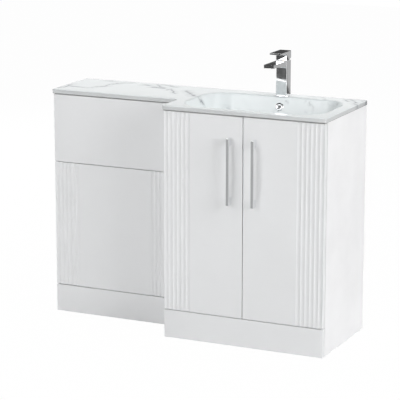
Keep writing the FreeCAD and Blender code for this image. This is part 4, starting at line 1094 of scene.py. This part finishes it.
def basin_shell():
    """The slab and bowl as one closed shell, with the tap hole."""
    bm = bmesh.new()
    outer = rings_mesh(bm, slab_rings())
    inner = rings_mesh(bm, bowl_rings(middle("waste_plug")))
    skirt = rings_mesh(bm, skirt_rings())
    hole = rings_mesh(bm, [circle_ring((COLUMN_X, COLUMN_Y), TAP_HOLE, z, TAP_HOLE_SIDES)
                           for z in (SLAB_TOP, SLAB_LOW)])
    fill_between(bm, outer[0], inner[0], hole[0])
    fill_between(bm, outer[-1], skirt[-1], hole[-1])
    bm.faces.new(inner[-1])
    bm.faces.new(skirt[0])
    return mesh_piece("cast_basin_top", bm)


def overflow_middle():
    """Middle of the overflow on the bowl's back wall."""
    top = settings()[2]
    back = bowl_middle()[1] + top.bowl_width / 2 - math.tan(top.slope) * OVERFLOW_DROP
    return Vector((BOWL_X, back, SLAB_TOP - OVERFLOW_DROP))


def duct_rib():
    """The rib down the bowl's back and under its floor that hides the overflow's duct."""
    top = settings()[2]
    back = bowl_middle()[1] + top.bowl_width / 2
    lean = math.tan(top.slope)
    under = SLAB_TOP - top.bowl_depth - top.floor / 2
    deep = low("basin_top").z
    front = middle("waste_plug").y - WASTE_RADIUS
    outline = [(front, under), (front, deep), (back - lean * top.bowl_depth + RIB_OUT, deep),
               (back - lean * OVERFLOW_DROP + RIB_OUT, SLAB_TOP - RIB_DROP)]
    for depth, out in RIB_INSIDE:
        outline.append((back - lean * depth + out, SLAB_TOP - depth))
    return profile_solid("duct_rib", outline, RIB_WIDTH, BOWL_X)


def make_basin():
    """The cast basin top with its overflow and the rib that hides the overflow's duct."""
    top = settings()[2]
    basin = combine(basin_shell(), duct_rib(), "UNION")
    drill(basin, middle("waste_plug"), WASTE_HOLE, low("basin_top").z - WASTE_PAST,
          SLAB_TOP - top.bowl_depth + WASTE_PAST)
    duct = [circle_ring((0, 0), OVERFLOW_BORE, z, BORE_SIDES) for z in OVERFLOW_REACH]
    combine(basin, capped_solid("overflow_cut", duct, leant(
        overflow_middle(), math.pi / 2 - top.slope)), "DIFFERENCE")
    smooth(basin, 40)
    stand_for(basin, "cabinet", "cast_marble", "basin_top")


def in_mm(pairs, z=0.0):
    """Pairs of radius and height given in millimetres, above a height in metres."""
    return [(radius * MM, z + height * MM) for radius, height in pairs]


def make_overflow_and_plug():
    """The overflow's conical trim ring, and the crowned click plug on its stem."""
    ring = [(5.6, -3), (9.7, -3), (10.7, -2.6), (10.7, 0), (15.3, 0), (15.5, 0.2),
            (15.2, 0.5), (14.2, 0.95), (12.6, 1.6), (11.0, 2.25), (9.8, 2.7), (9.1, 2.85),
            (8.6, 2.7), (8.2, 2.2), (7.6, 0.6), (7.0, -0.8), (6.4, -1.4), (5.8, -1.8),
            (5.6, -2.2)]
    trim = turned_solid("overflow_trim_ring", in_mm(ring), overflow_middle(),
                        math.pi / 2 - settings()[2].slope)
    stand_for(smooth(trim, 50), "cabinet", "polished_chrome", "overflow_ring")
    stem = [(0, 0), (4.0, 0), (4.5, 0.5)]
    crown = [(4.5, -3.0), (27.6, -3.0), (28.5, -2.7), (28.95, -2.1), (28.95, -1.5),
             (28.6, -0.9), (27.8, -0.55), (24.0, -0.25), (14.0, -0.06), (0, 0)]
    place = middle("waste_plug")
    corner, far = room("waste_plug")
    plug = turned_solid("click_plug", in_mm(stem) + in_mm(crown, far.z - corner.z),
                        Vector((place.x, place.y, corner.z)))
    stand_for(smooth(plug, 40), "basin_plug", "polished_chrome", "waste_plug")


# Mixer

def block(name, low_corner, high_corner):
    """A plain block that cuts a pocket."""
    bm = bmesh.new()
    bmesh.ops.create_cube(bm, size=1)
    for vertex in bm.verts:
        vertex.co = Vector([low_corner[k] if vertex.co[k] < 0 else high_corner[k]
                            for k in range(3)])
    return mesh_piece(name, bm)


def make_tap_body():
    """The mixer's column with its flat spout, bored for the cartridge and the aerator."""
    tap = settings()[3]
    corner, far = room("tap_body")
    foot, top = corner.z, far.z
    half_x, half_y = (far.x - corner.x) / 2, far.y - COLUMN_Y
    column = capped_solid("mixer_body", [
        corner_ring(half_x, half_y, tap.corner, z, (COLUMN_X, COLUMN_Y)) for z in (foot, top)])
    tip_y = corner.y - COLUMN_Y
    flat_low, root_low = top - tap.tip, top - tap.root
    outline = [(0, top), (tip_y, top), (tip_y, flat_low), (tip_y + NOZZLE_FLAT, flat_low)]
    outline += [(-half_y - ahead, root_low + above) for ahead, above in SPOUT_BEND]
    outline += [(-half_y, root_low - tap.corner), (0, root_low - tap.corner)]
    combine(column, profile_solid("spout", [(COLUMN_Y + y, z) for y, z in outline],
                                  tap.spout_width, COLUMN_X), "UNION")
    cartridge_low, cartridge_high = room("tap_cartridge")
    drill(column, (COLUMN_X, COLUMN_Y),
          (cartridge_high.x - cartridge_low.x) / 2 + CARTRIDGE_PLAY, cartridge_low.z,
          top + CUT_PAST)
    drill(column, middle("tap_aerator"), NOZZLE_BORE, flat_low - CUT_PAST,
          high("tap_aerator").z)
    for x, y, radius in FOOT_HOLES:
        drill(column, (COLUMN_X + x, COLUMN_Y + y), radius, foot - CUT_PAST,
              foot + FOOT_HOLE_DEPTH, FOOT_HOLE_SIDES)
    soften(column, tap.edge, 40)
    stand_for(column, "cabinet", "polished_chrome", "tap_body")


def round_uprights(piece, behind_y, width):
    """Round a piece's upright edges that lie behind a place."""
    bm = bmesh.new()
    bm.from_mesh(piece.data)
    uprights = []
    for edge in bm.edges:
        first, second = (vertex.co for vertex in edge.verts)
        if abs(first.x - second.x) + abs(first.y - second.y) < NEAR and first.y > behind_y:
            uprights.append(edge)
    bmesh.ops.bevel(bm, geom=uprights, offset=width, segments=CORNER_STEPS, profile=0.5,
                    affect="EDGES", clamp_overlap=True)
    bm.to_mesh(piece.data)
    bm.free()


def make_lever():
    """The lever: a block over the column under one flat plate."""
    tap = settings()[3]
    corner, far = room("tap_lever")
    front_y = 2 * COLUMN_Y - far.y
    under = far.z - tap.plate
    outline = [(corner.y, far.z), (corner.y, far.z - tap.plate * LEVER_TIP),
               (front_y - tap.plate, under), (front_y, under - tap.plate),
               (front_y, corner.z), (COLUMN_Y + 2 * MM, corner.z),
               (far.y, corner.z + LEVER_HEEL), (far.y, far.z)]
    lever = profile_solid("mixer_lever", outline, far.x - corner.x, COLUMN_X)
    round_uprights(lever, front_y - NEAR, LEVER_CORNER)
    spindle_low, spindle_high = room("tap_spindle")
    play = Vector((SPINDLE_PLAY, SPINDLE_PLAY, SPINDLE_PLAY))
    pocket_low = spindle_low - play
    pocket_low.z = corner.z - CUT_PAST
    combine(lever, block("spindle_cut", pocket_low, spindle_high + play), "DIFFERENCE")
    grub = [circle_ring((COLUMN_X, middle("tap_grub_screw").z), GRUB_RADIUS, y, GRUB_SIDES)
            for y in (COLUMN_Y + 3 * MM, far.y + CUT_PAST)]
    combine(lever, capped_solid("grub_cut", grub, SWAP_YZ), "DIFFERENCE")
    soften(lever, tap.edge, 40)
    stand_for(lever, "tap_lever", "polished_chrome", "tap_lever")


def make_foot_ring():
    """The thin rounded ring under the column."""
    corner, far = room("tap_foot_ring")
    radius, thick = (far.x - corner.x) / 2, far.z - corner.z
    inner = TAP_HOLE - 1 * MM
    chamfer, crown, steps = 0.3 * MM, 1.5 * MM, 5
    profile = [(inner, 0), (radius - chamfer, 0), (radius, chamfer)]
    for k in range(steps + 1):
        angle = math.pi / 2 * k / steps
        profile.append((radius - crown * (1 - math.cos(angle)),
                        thick / 2 + thick / 2 * math.sin(angle)))
    profile.append((inner, thick))
    ring = turned_solid("mixer_foot_ring", profile, Vector((COLUMN_X, COLUMN_Y, corner.z)),
                        count=96)
    stand_for(smooth(ring, 40), "cabinet", "polished_chrome", "tap_foot_ring")


@node_group("Honeycomb", "GeometryNodeTree", {
    "Radius": 0.008, "Cell": 0.0012, "Wall": 0.0003, "Depth": 0.002, "Middle": "Vector",
    "Material": "Material"}, {"Geometry": "Geometry"})
def honeycomb(graph, given):
    """Small six-sided cells side by side over a round area."""
    cell = given["Cell"]
    grid = graph.add("GeometryNodeMeshGrid", {
        "Size X": CELL_ROWS - 1.0, "Size Y": CELL_ROWS - 1.0, "Vertices X": CELL_ROWS,
        "Vertices Y": CELL_ROWS})
    place = graph.parts(graph.add("GeometryNodeInputPosition")[0])
    odd = graph.math("FLOORED_MODULO", place[1], 2.0) * 0.5
    spot = graph.point((place[0] + odd) * (cell * 3 ** 0.5), place[1] * (cell * 1.5), 0.0)
    inside = graph.math("LESS_THAN", graph.measure("LENGTH", spot), given["Radius"] - cell)
    moved = graph.add("GeometryNodeSetPosition", {"Geometry": grid["Mesh"],
                                                  "Position": spot})
    loop = graph.add("GeometryNodeCurvePrimitiveCircle", {"Resolution": 6, "Radius": cell})
    section = graph.add("GeometryNodeCurvePrimitiveQuadrilateral", {
        "Width": given["Wall"], "Height": given["Depth"]})
    wall = graph.add("GeometryNodeCurveToMesh", {"Curve": loop["Curve"],
                                                 "Profile Curve": section["Curve"]})
    turned = graph.add("GeometryNodeTransform", {
        "Geometry": wall["Mesh"], "Rotation": (0.0, 0.0, math.radians(30))})
    cells = graph.add("GeometryNodeInstanceOnPoints", {
        "Points": moved[0], "Selection": inside, "Instance": turned[0]})
    put = graph.add("GeometryNodeTransform", {"Geometry": cells[0],
                                              "Translation": given["Middle"]})
    return dressed(graph, put[0], given["Material"])


def make_aerator():
    """The chrome rim of the aerator and its honeycomb insert."""
    corner, far = room("tap_aerator")
    place = middle("tap_aerator")
    outer, deep = (far.x - corner.x) / 2, far.z - corner.z
    inner, chamfer, recess = outer - 2 * MM, 0.4 * MM, 2.2 * MM
    profile = [(0, deep), (outer, deep), (outer, chamfer), (outer - chamfer, 0),
               (inner + chamfer, 0), (inner, chamfer), (inner, recess), (0, recess)]
    rim = turned_solid("aerator_rim", profile, Vector((place.x, place.y, corner.z)), count=64)
    stand_for(smooth(rim, 40), "cabinet", "polished_chrome", "tap_aerator")
    insert = tree_piece("aerator_honeycomb", honeycomb(), {
        **MESH_CELL, "Radius": inner, "Material": finish("white_plastic"),
        "Middle": Vector((place.x, place.y, corner.z + MESH_HEIGHT))})
    stand_for(insert, "cabinet", "white_plastic")


# Screws

@node_group("Screw heads", "GeometryNodeTree", {
    "Points": "Geometry", "Radius": 0.0032, "Height": 0.0016, "Slot": 0.0008,
    "Material": "Material"}, {"Geometry": "Geometry"})
def screw_heads(graph, given):
    """A crowned screw head with a cross recess on every point, turned to face outwards."""
    radius, height, slot = given["Radius"], given["Height"], given["Slot"]
    head = graph.add("GeometryNodeMeshCone", {
        "Vertices": 20, "Side Segments": 2, "Radius Top": radius * 0.7,
        "Radius Bottom": radius, "Depth": height})
    recess = graph.add("GeometryNodeMeshBoolean", {"Mesh 1": head["Mesh"]},
                       operation="DIFFERENCE")
    lift = graph.point(0.0, 0.0, height + slot * 0.2)
    span = radius * 1.1
    for size in ((span, slot), (slot, span)):
        bar = graph.add("GeometryNodeMeshCube", {"Size": graph.point(*size, height)})
        cutter = graph.add("GeometryNodeTransform", {"Geometry": bar["Mesh"],
                                                     "Translation": lift})
        graph.tree.links.new(cutter[0].socket, recess.node.inputs["Mesh 2"])
    facing = graph.add("GeometryNodeInputNamedAttribute", {"Name": "facing"},
                       data_type="FLOAT_VECTOR")
    turn = graph.add("FunctionNodeAlignRotationToVector", {"Vector": facing["Attribute"]},
                     axis="Z")
    heads = graph.add("GeometryNodeInstanceOnPoints", {
        "Points": given["Points"], "Instance": recess["Mesh"], "Rotation": turn[0]})
    return dressed(graph, heads[0], given["Material"])


def screw_set(name, body, spots):
    """Screw heads on a body from a list of places and the ways that they face."""
    mesh = bpy.data.meshes.new(name)
    mesh.from_pydata([place for place, facing in spots], [], [])
    ways = mesh.attributes.new("facing", "FLOAT_VECTOR", "POINT")
    for k, (place, facing) in enumerate(spots):
        ways.data[k].vector = facing
    heads = tree_piece(name, screw_heads(), {**SCREW_HEAD, "Material": finish("zinc_steel")},
                       mesh)
    return stand_for(heads, body, "zinc_steel")


def solid_corners(node):
    """The separate solids of a CAD node, each as its list of points."""
    bm = bmesh.new()
    bm.from_mesh(frame["nodes"][node].data)
    bmesh.ops.remove_doubles(bm, verts=bm.verts, dist=NEAR)
    left, solids = set(bm.verts), []
    for start in bm.verts:
        if start not in left:
            continue
        left.discard(start)
        waiting, island = [start], []
        while waiting:
            vertex = waiting.pop()
            island.append(vertex.co.copy())
            for edge in vertex.link_edges:
                other = edge.other_vert(vertex)
                if other in left:
                    left.discard(other)
                    waiting.append(other)
        solids.append(island)
    bm.free()
    return solids


def bracket_screws(node, one_leg=False):
    """Places and facings of the screws through the legs of a node's angle brackets."""
    spots = []
    for points in solid_corners(node):
        lowest = Vector([min(point[k] for point in points) for k in range(3)])
        highest = Vector([max(point[k] for point in points) for k in range(3)])
        for x, far_x in ((lowest.x, highest.x), (highest.x, lowest.x)):
            for y, far_y in ((lowest.y, highest.y), (highest.y, lowest.y)):
                if all(abs(point.x - far_x) + abs(point.y - far_y) > FAR_FROM_CORNER
                       for point in points):
                    bend = (x, y, 1 if far_x > x else -1, 1 if far_y > y else -1)
        x, y, way_x, way_y = bend
        level = (lowest.z + highest.z) / 2
        along = (highest.x - lowest.x) * 0.6
        spots.append(((x + LEG * way_x, y + along * way_y, level), (way_x, 0, 0)))
        if not one_leg:
            spots.append(((x + along * way_x, y + LEG * way_y, level), (0, way_y, 0)))
    return spots


def make_screws():
    """Screw heads on the brackets, the hinge plates, the hinge cups and behind handles."""
    cabinet = bracket_screws("wall_brackets", True)
    cabinet += bracket_screws("plinth_brackets") + bracket_screws("panel_brackets")
    for word, side in (("left", LEFT), ("right", RIGHT)):
        plate_low, plate_high = room(f"{word}_hinge_plates")
        face = plate_low.x + LEG if side == LEFT else plate_high.x - LEG
        cup_x = middle(f"{word}_hinge_cups").x
        behind = high(f"{word}_door").y
        door = []
        for z in hinge_heights(word):
            for way in (-1, 1):
                cabinet.append(((face, (plate_low.y + plate_high.y) / 2,
                                 z + way * PLATE_SCREW), (-side, 0, 0)))
            for way in (-1, 1):
                door.append(((cup_x, behind + CUP_FLANGE, z + way * CUP_SCREW), (0, 1, 0)))
        handle_low, handle_high = room(f"{word}_handle")
        for z in (handle_low.z + HANDLE_SCREW, handle_high.z - HANDLE_SCREW):
            door.append((((handle_low.x + handle_high.x) / 2, behind, z), (0, 1, 0)))
        screw_set(f"{word}_door_screws", f"{word}_door", door)
    screw_set("cabinet_screws", "cabinet", cabinet)


# Stage

def sheet(name, corners, material):
    """A flat face with one material."""
    bm = bmesh.new()
    bm.faces.new([bm.verts.new(corner) for corner in corners])
    mesh = bpy.data.meshes.new(name)
    bm.to_mesh(mesh)
    bm.free()
    mesh.materials.append(material)
    return new_piece(name, mesh)


def level_corners(low_x, low_y, high_x, high_y, z):
    """Corners of a level face."""
    return ((low_x, low_y, z), (high_x, low_y, z), (high_x, high_y, z), (low_x, high_y, z))


# Cards that only the metal sees: name, corners, paint, grey level
CARDS = (
    ("near_card", level_corners(-5, -4.6, 5, -0.9, 0.004), "Middle card", 172),
    ("front_card", level_corners(-6, -8.9, 6, -4.6, 0.004), "Dark card", 74),
    ("far_card", level_corners(0.3, 0.6, 6, 4.78, 0.004), "Dark card", 74),
    ("side_card", level_corners(0.3, 4.78, 6, 8.9, 0.004), "Pale card", 180),
    ("top_card", level_corners(-2, -0.95, 1.2, 2.4, 2.2), "Black card", 70),
    ("back_card", ((-0.6, 0.45, 1.005), (0.5, 0.45, 1.005), (0.5, 0.45, 1.7),
                   (-0.6, 0.45, 1.7)), "Black card", 70),
)

# Square lamps: name, place, size, the setting of its power, whether reflections show it
LAMPS = (
    ("key_lamp", (4.6, -1.4, 2.2), 2.4, "key", True),
    ("front_lamp", (-1.6, -4.1, 2.4), 3.2, "fill", True),
    ("top_lamp", (0.2, 1.0, 3.0), 2.6, "over", False),
    ("back_lamp", (-3.0, 2.6, 2.0), 2.2, "back", False),
)


def make_stage():
    """A plain pale floor, soft lamps, an even room light and the photograph's camera."""
    stage = settings()[4]
    floor = sheet("studio_floor", level_corners(-FLOOR_REACH, -FLOOR_REACH, FLOOR_REACH,
                                                FLOOR_REACH, 0),
                  kept_material("Studio floor", studio_floor))
    for name, corners, paint, level in CARDS:
        card = sheet(name, corners, kept_material(paint, card_paint, level))
        card.visible_camera = False
        card.visible_diffuse = False
        card.visible_shadow = False
        card.visible_transmission = False
    room_light(stage)
    for name, spot, size, power, glare in LAMPS:
        soft_lamp(name, spot, size, getattr(stage, power), glare)
    camera = bpy.data.cameras.new("photo_camera")
    camera.sensor_width = FILM_WIDTH
    camera.lens = stage.lens
    eye = new_piece("photo_camera", camera)
    eye.location = stage.eye
    eye.rotation_euler = (math.pi / 2 - stage.tilt, 0, stage.heading)
    bpy.context.scene.camera = eye
    bpy.context.scene.view_settings.view_transform = "Standard"


def glow(graph, colour):
    """Light of a colour's own level."""
    return graph.add("ShaderNodeEmission", {"Color": colour, "Strength": 1.0})[0]


def card_paint(name, level):
    """A grey that shows at its own level in reflections, slightly uneven."""
    material, graph, shader, place = new_material(name)
    mottle = graph.effect(soft_mottle, {
        "Vector": place, "Scale": 2.0, **grey_pair([level] * 3, [level + 6] * 3)})
    graph.feed(material.node_tree.nodes["Material Output"].inputs,
               {"Surface": glow(graph, mottle["Colour"])})
    return material


def soft_lamp(name, spot, size, power, glare):
    """A large square lamp that faces the middle of the vanity unit."""
    lamp = bpy.data.lights.new(name, "AREA")
    lamp.size = size
    lamp.energy = power
    holder = new_piece(name, lamp)
    holder.visible_glossy = glare
    holder.location = spot
    aim = Vector((0, 0, SLAB_TOP / 2)) - Vector(spot)
    holder.rotation_euler = aim.to_track_quat("-Z", "Y").to_euler()
    return holder


def looked_at(graph):
    """1 where the camera, a mirror or clear glass sees a surface, and 0 for plain light."""
    path = graph.add("ShaderNodeLightPath")
    seen = graph.math("MAXIMUM", path["Is Camera Ray"], path["Is Glossy Ray"])
    return graph.math("MAXIMUM", seen, path["Is Transmission Ray"])


def room_light(stage):
    """White to the camera and in reflections, and a plain level of grey as light."""
    world = bpy.data.worlds.new("Studio")
    bpy.context.scene.world = world
    world.use_nodes = True
    graph = Graph(world.node_tree)
    graph.feed(world.node_tree.nodes["Background"].inputs, {
        "Color": WHITE, "Strength": graph.span(looked_at(graph), 0.0, 1.0, stage.room, 1.0)})


def studio_floor(name):
    """Pale floor that keeps the shadow of what stands on it."""
    material, graph, shader, place = new_material(name)
    mottle = graph.effect(soft_mottle, {"Vector": place, "Scale": 0.7,
                                        **tones(settings()[4].floor, 0.99)})
    graph.feed(shader, {"Base Color": mottle["Colour"], "Roughness": 0.9})
    nodes = material.node_tree.nodes
    plain = Outputs(graph, nodes["Principled BSDF"])[0]
    blend = graph.add("ShaderNodeMixShader", {0: looked_at(graph) * SHADOWLESS, 1: plain,
                                              2: glow(graph, WHITE)})
    graph.feed(nodes["Material Output"].inputs, {"Surface": blend[0]})
    return material


def dress_nodes():
    """Give every CAD node the finish of its slot in the record."""
    for part in frame["record"]["subparts"]:
        mesh = frame["nodes"][part["node"]].data
        mesh.materials.clear()
        mesh.materials.append(finish(part["material_slot"]))


# Operators and panel

class VANITY_OT_fittings(bpy.types.Operator):
    """Give the boards, hinges, brackets and hidden fittings their finishes"""
    bl_idname = "vanity.fittings"
    bl_label = "Boards and fittings"

    def execute(self, context):
        dress_nodes()
        return {"FINISHED"}


class VANITY_OT_doors(bpy.types.Operator):
    """Make the two fluted doors with their bores for the hinge cups"""
    bl_idname = "vanity.doors"
    bl_label = "Doors"

    def execute(self, context):
        make_doors()
        return {"FINISHED"}


class VANITY_OT_panels(bpy.types.Operator):
    """Make the panels, the plinths and the strip between the cupboards"""
    bl_idname = "vanity.panels"
    bl_label = "Panels and plinths"

    def execute(self, context):
        make_panels()
        return {"FINISHED"}


class VANITY_OT_handles(bpy.types.Operator):
    """Make the two bar handles"""
    bl_idname = "vanity.handles"
    bl_label = "Handles"

    def execute(self, context):
        make_handles()
        return {"FINISHED"}


class VANITY_OT_basin(bpy.types.Operator):
    """Make the cast basin top"""
    bl_idname = "vanity.basin"
    bl_label = "Basin top"

    def execute(self, context):
        make_basin()
        return {"FINISHED"}


class VANITY_OT_waste(bpy.types.Operator):
    """Make the overflow's trim ring and the click plug"""
    bl_idname = "vanity.waste"
    bl_label = "Overflow ring and plug"

    def execute(self, context):
        make_overflow_and_plug()
        return {"FINISHED"}


class VANITY_OT_mixer(bpy.types.Operator):
    """Make the mixer's body, foot ring, lever and aerator"""
    bl_idname = "vanity.mixer"
    bl_label = "Basin mixer"

    def execute(self, context):
        make_tap_body()
        make_lever()
        make_foot_ring()
        make_aerator()
        return {"FINISHED"}


class VANITY_OT_screws(bpy.types.Operator):
    """Put screw heads on the brackets, the hinges and behind the handles"""
    bl_idname = "vanity.screws"
    bl_label = "Screws"

    def execute(self, context):
        make_screws()
        return {"FINISHED"}


class VANITY_OT_stage(bpy.types.Operator):
    """Set the floor, the lamps and the camera"""
    bl_idname = "vanity.stage"
    bl_label = "Stage"

    def execute(self, context):
        make_stage()
        return {"FINISHED"}


OPERATORS = (VANITY_OT_fittings, VANITY_OT_doors, VANITY_OT_panels, VANITY_OT_handles,
             VANITY_OT_basin, VANITY_OT_waste, VANITY_OT_mixer, VANITY_OT_screws,
             VANITY_OT_stage)
SETTINGS = (("vanity_fronts", VanityFrontSettings), ("vanity_handles", VanityHandleSettings),
            ("vanity_top", VanityTopSettings), ("vanity_tap", VanityTapSettings),
            ("vanity_stage", VanityStageSettings))


class VANITY_PT_panel(bpy.types.Panel):
    """The vanity unit's settings and the buttons that make its pieces"""
    bl_idname = "VANITY_PT_panel"
    bl_label = "Fluted vanity unit"
    bl_space_type = "VIEW_3D"
    bl_region_type = "UI"
    bl_category = "Vanity"

    def draw(self, context):
        for operator in OPERATORS:
            self.layout.operator(operator.bl_idname)
        for name, group in SETTINGS:
            box = self.layout.box()
            chosen = getattr(context.scene, name)
            for prop in group.__annotations__:
                box.prop(chosen, prop)


def register():
    """Register the settings, the operators and the panel."""
    for name, group in SETTINGS:
        bpy.utils.register_class(group)
        setattr(bpy.types.Scene, name, bpy.props.PointerProperty(type=group))
    for operator in OPERATORS:
        bpy.utils.register_class(operator)
    bpy.utils.register_class(VANITY_PT_panel)


def unregister():
    """Take the panel, the operators and the settings away again."""
    bpy.utils.unregister_class(VANITY_PT_panel)
    for operator in reversed(OPERATORS):
        bpy.utils.unregister_class(operator)
    for name, group in reversed(SETTINGS):
        delattr(bpy.types.Scene, name)
        bpy.utils.unregister_class(group)


def main():
    """Build the dressed vanity unit and write its two boxes."""
    register()
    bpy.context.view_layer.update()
    bpy.ops.vanity.fittings()
    bpy.ops.vanity.doors()
    bpy.ops.vanity.panels()
    bpy.ops.vanity.handles()
    bpy.ops.vanity.basin()
    bpy.ops.vanity.waste()
    bpy.ops.vanity.mixer()
    bpy.ops.vanity.screws()
    bpy.ops.vanity.stage()


if __name__ == "__main__":
    main()
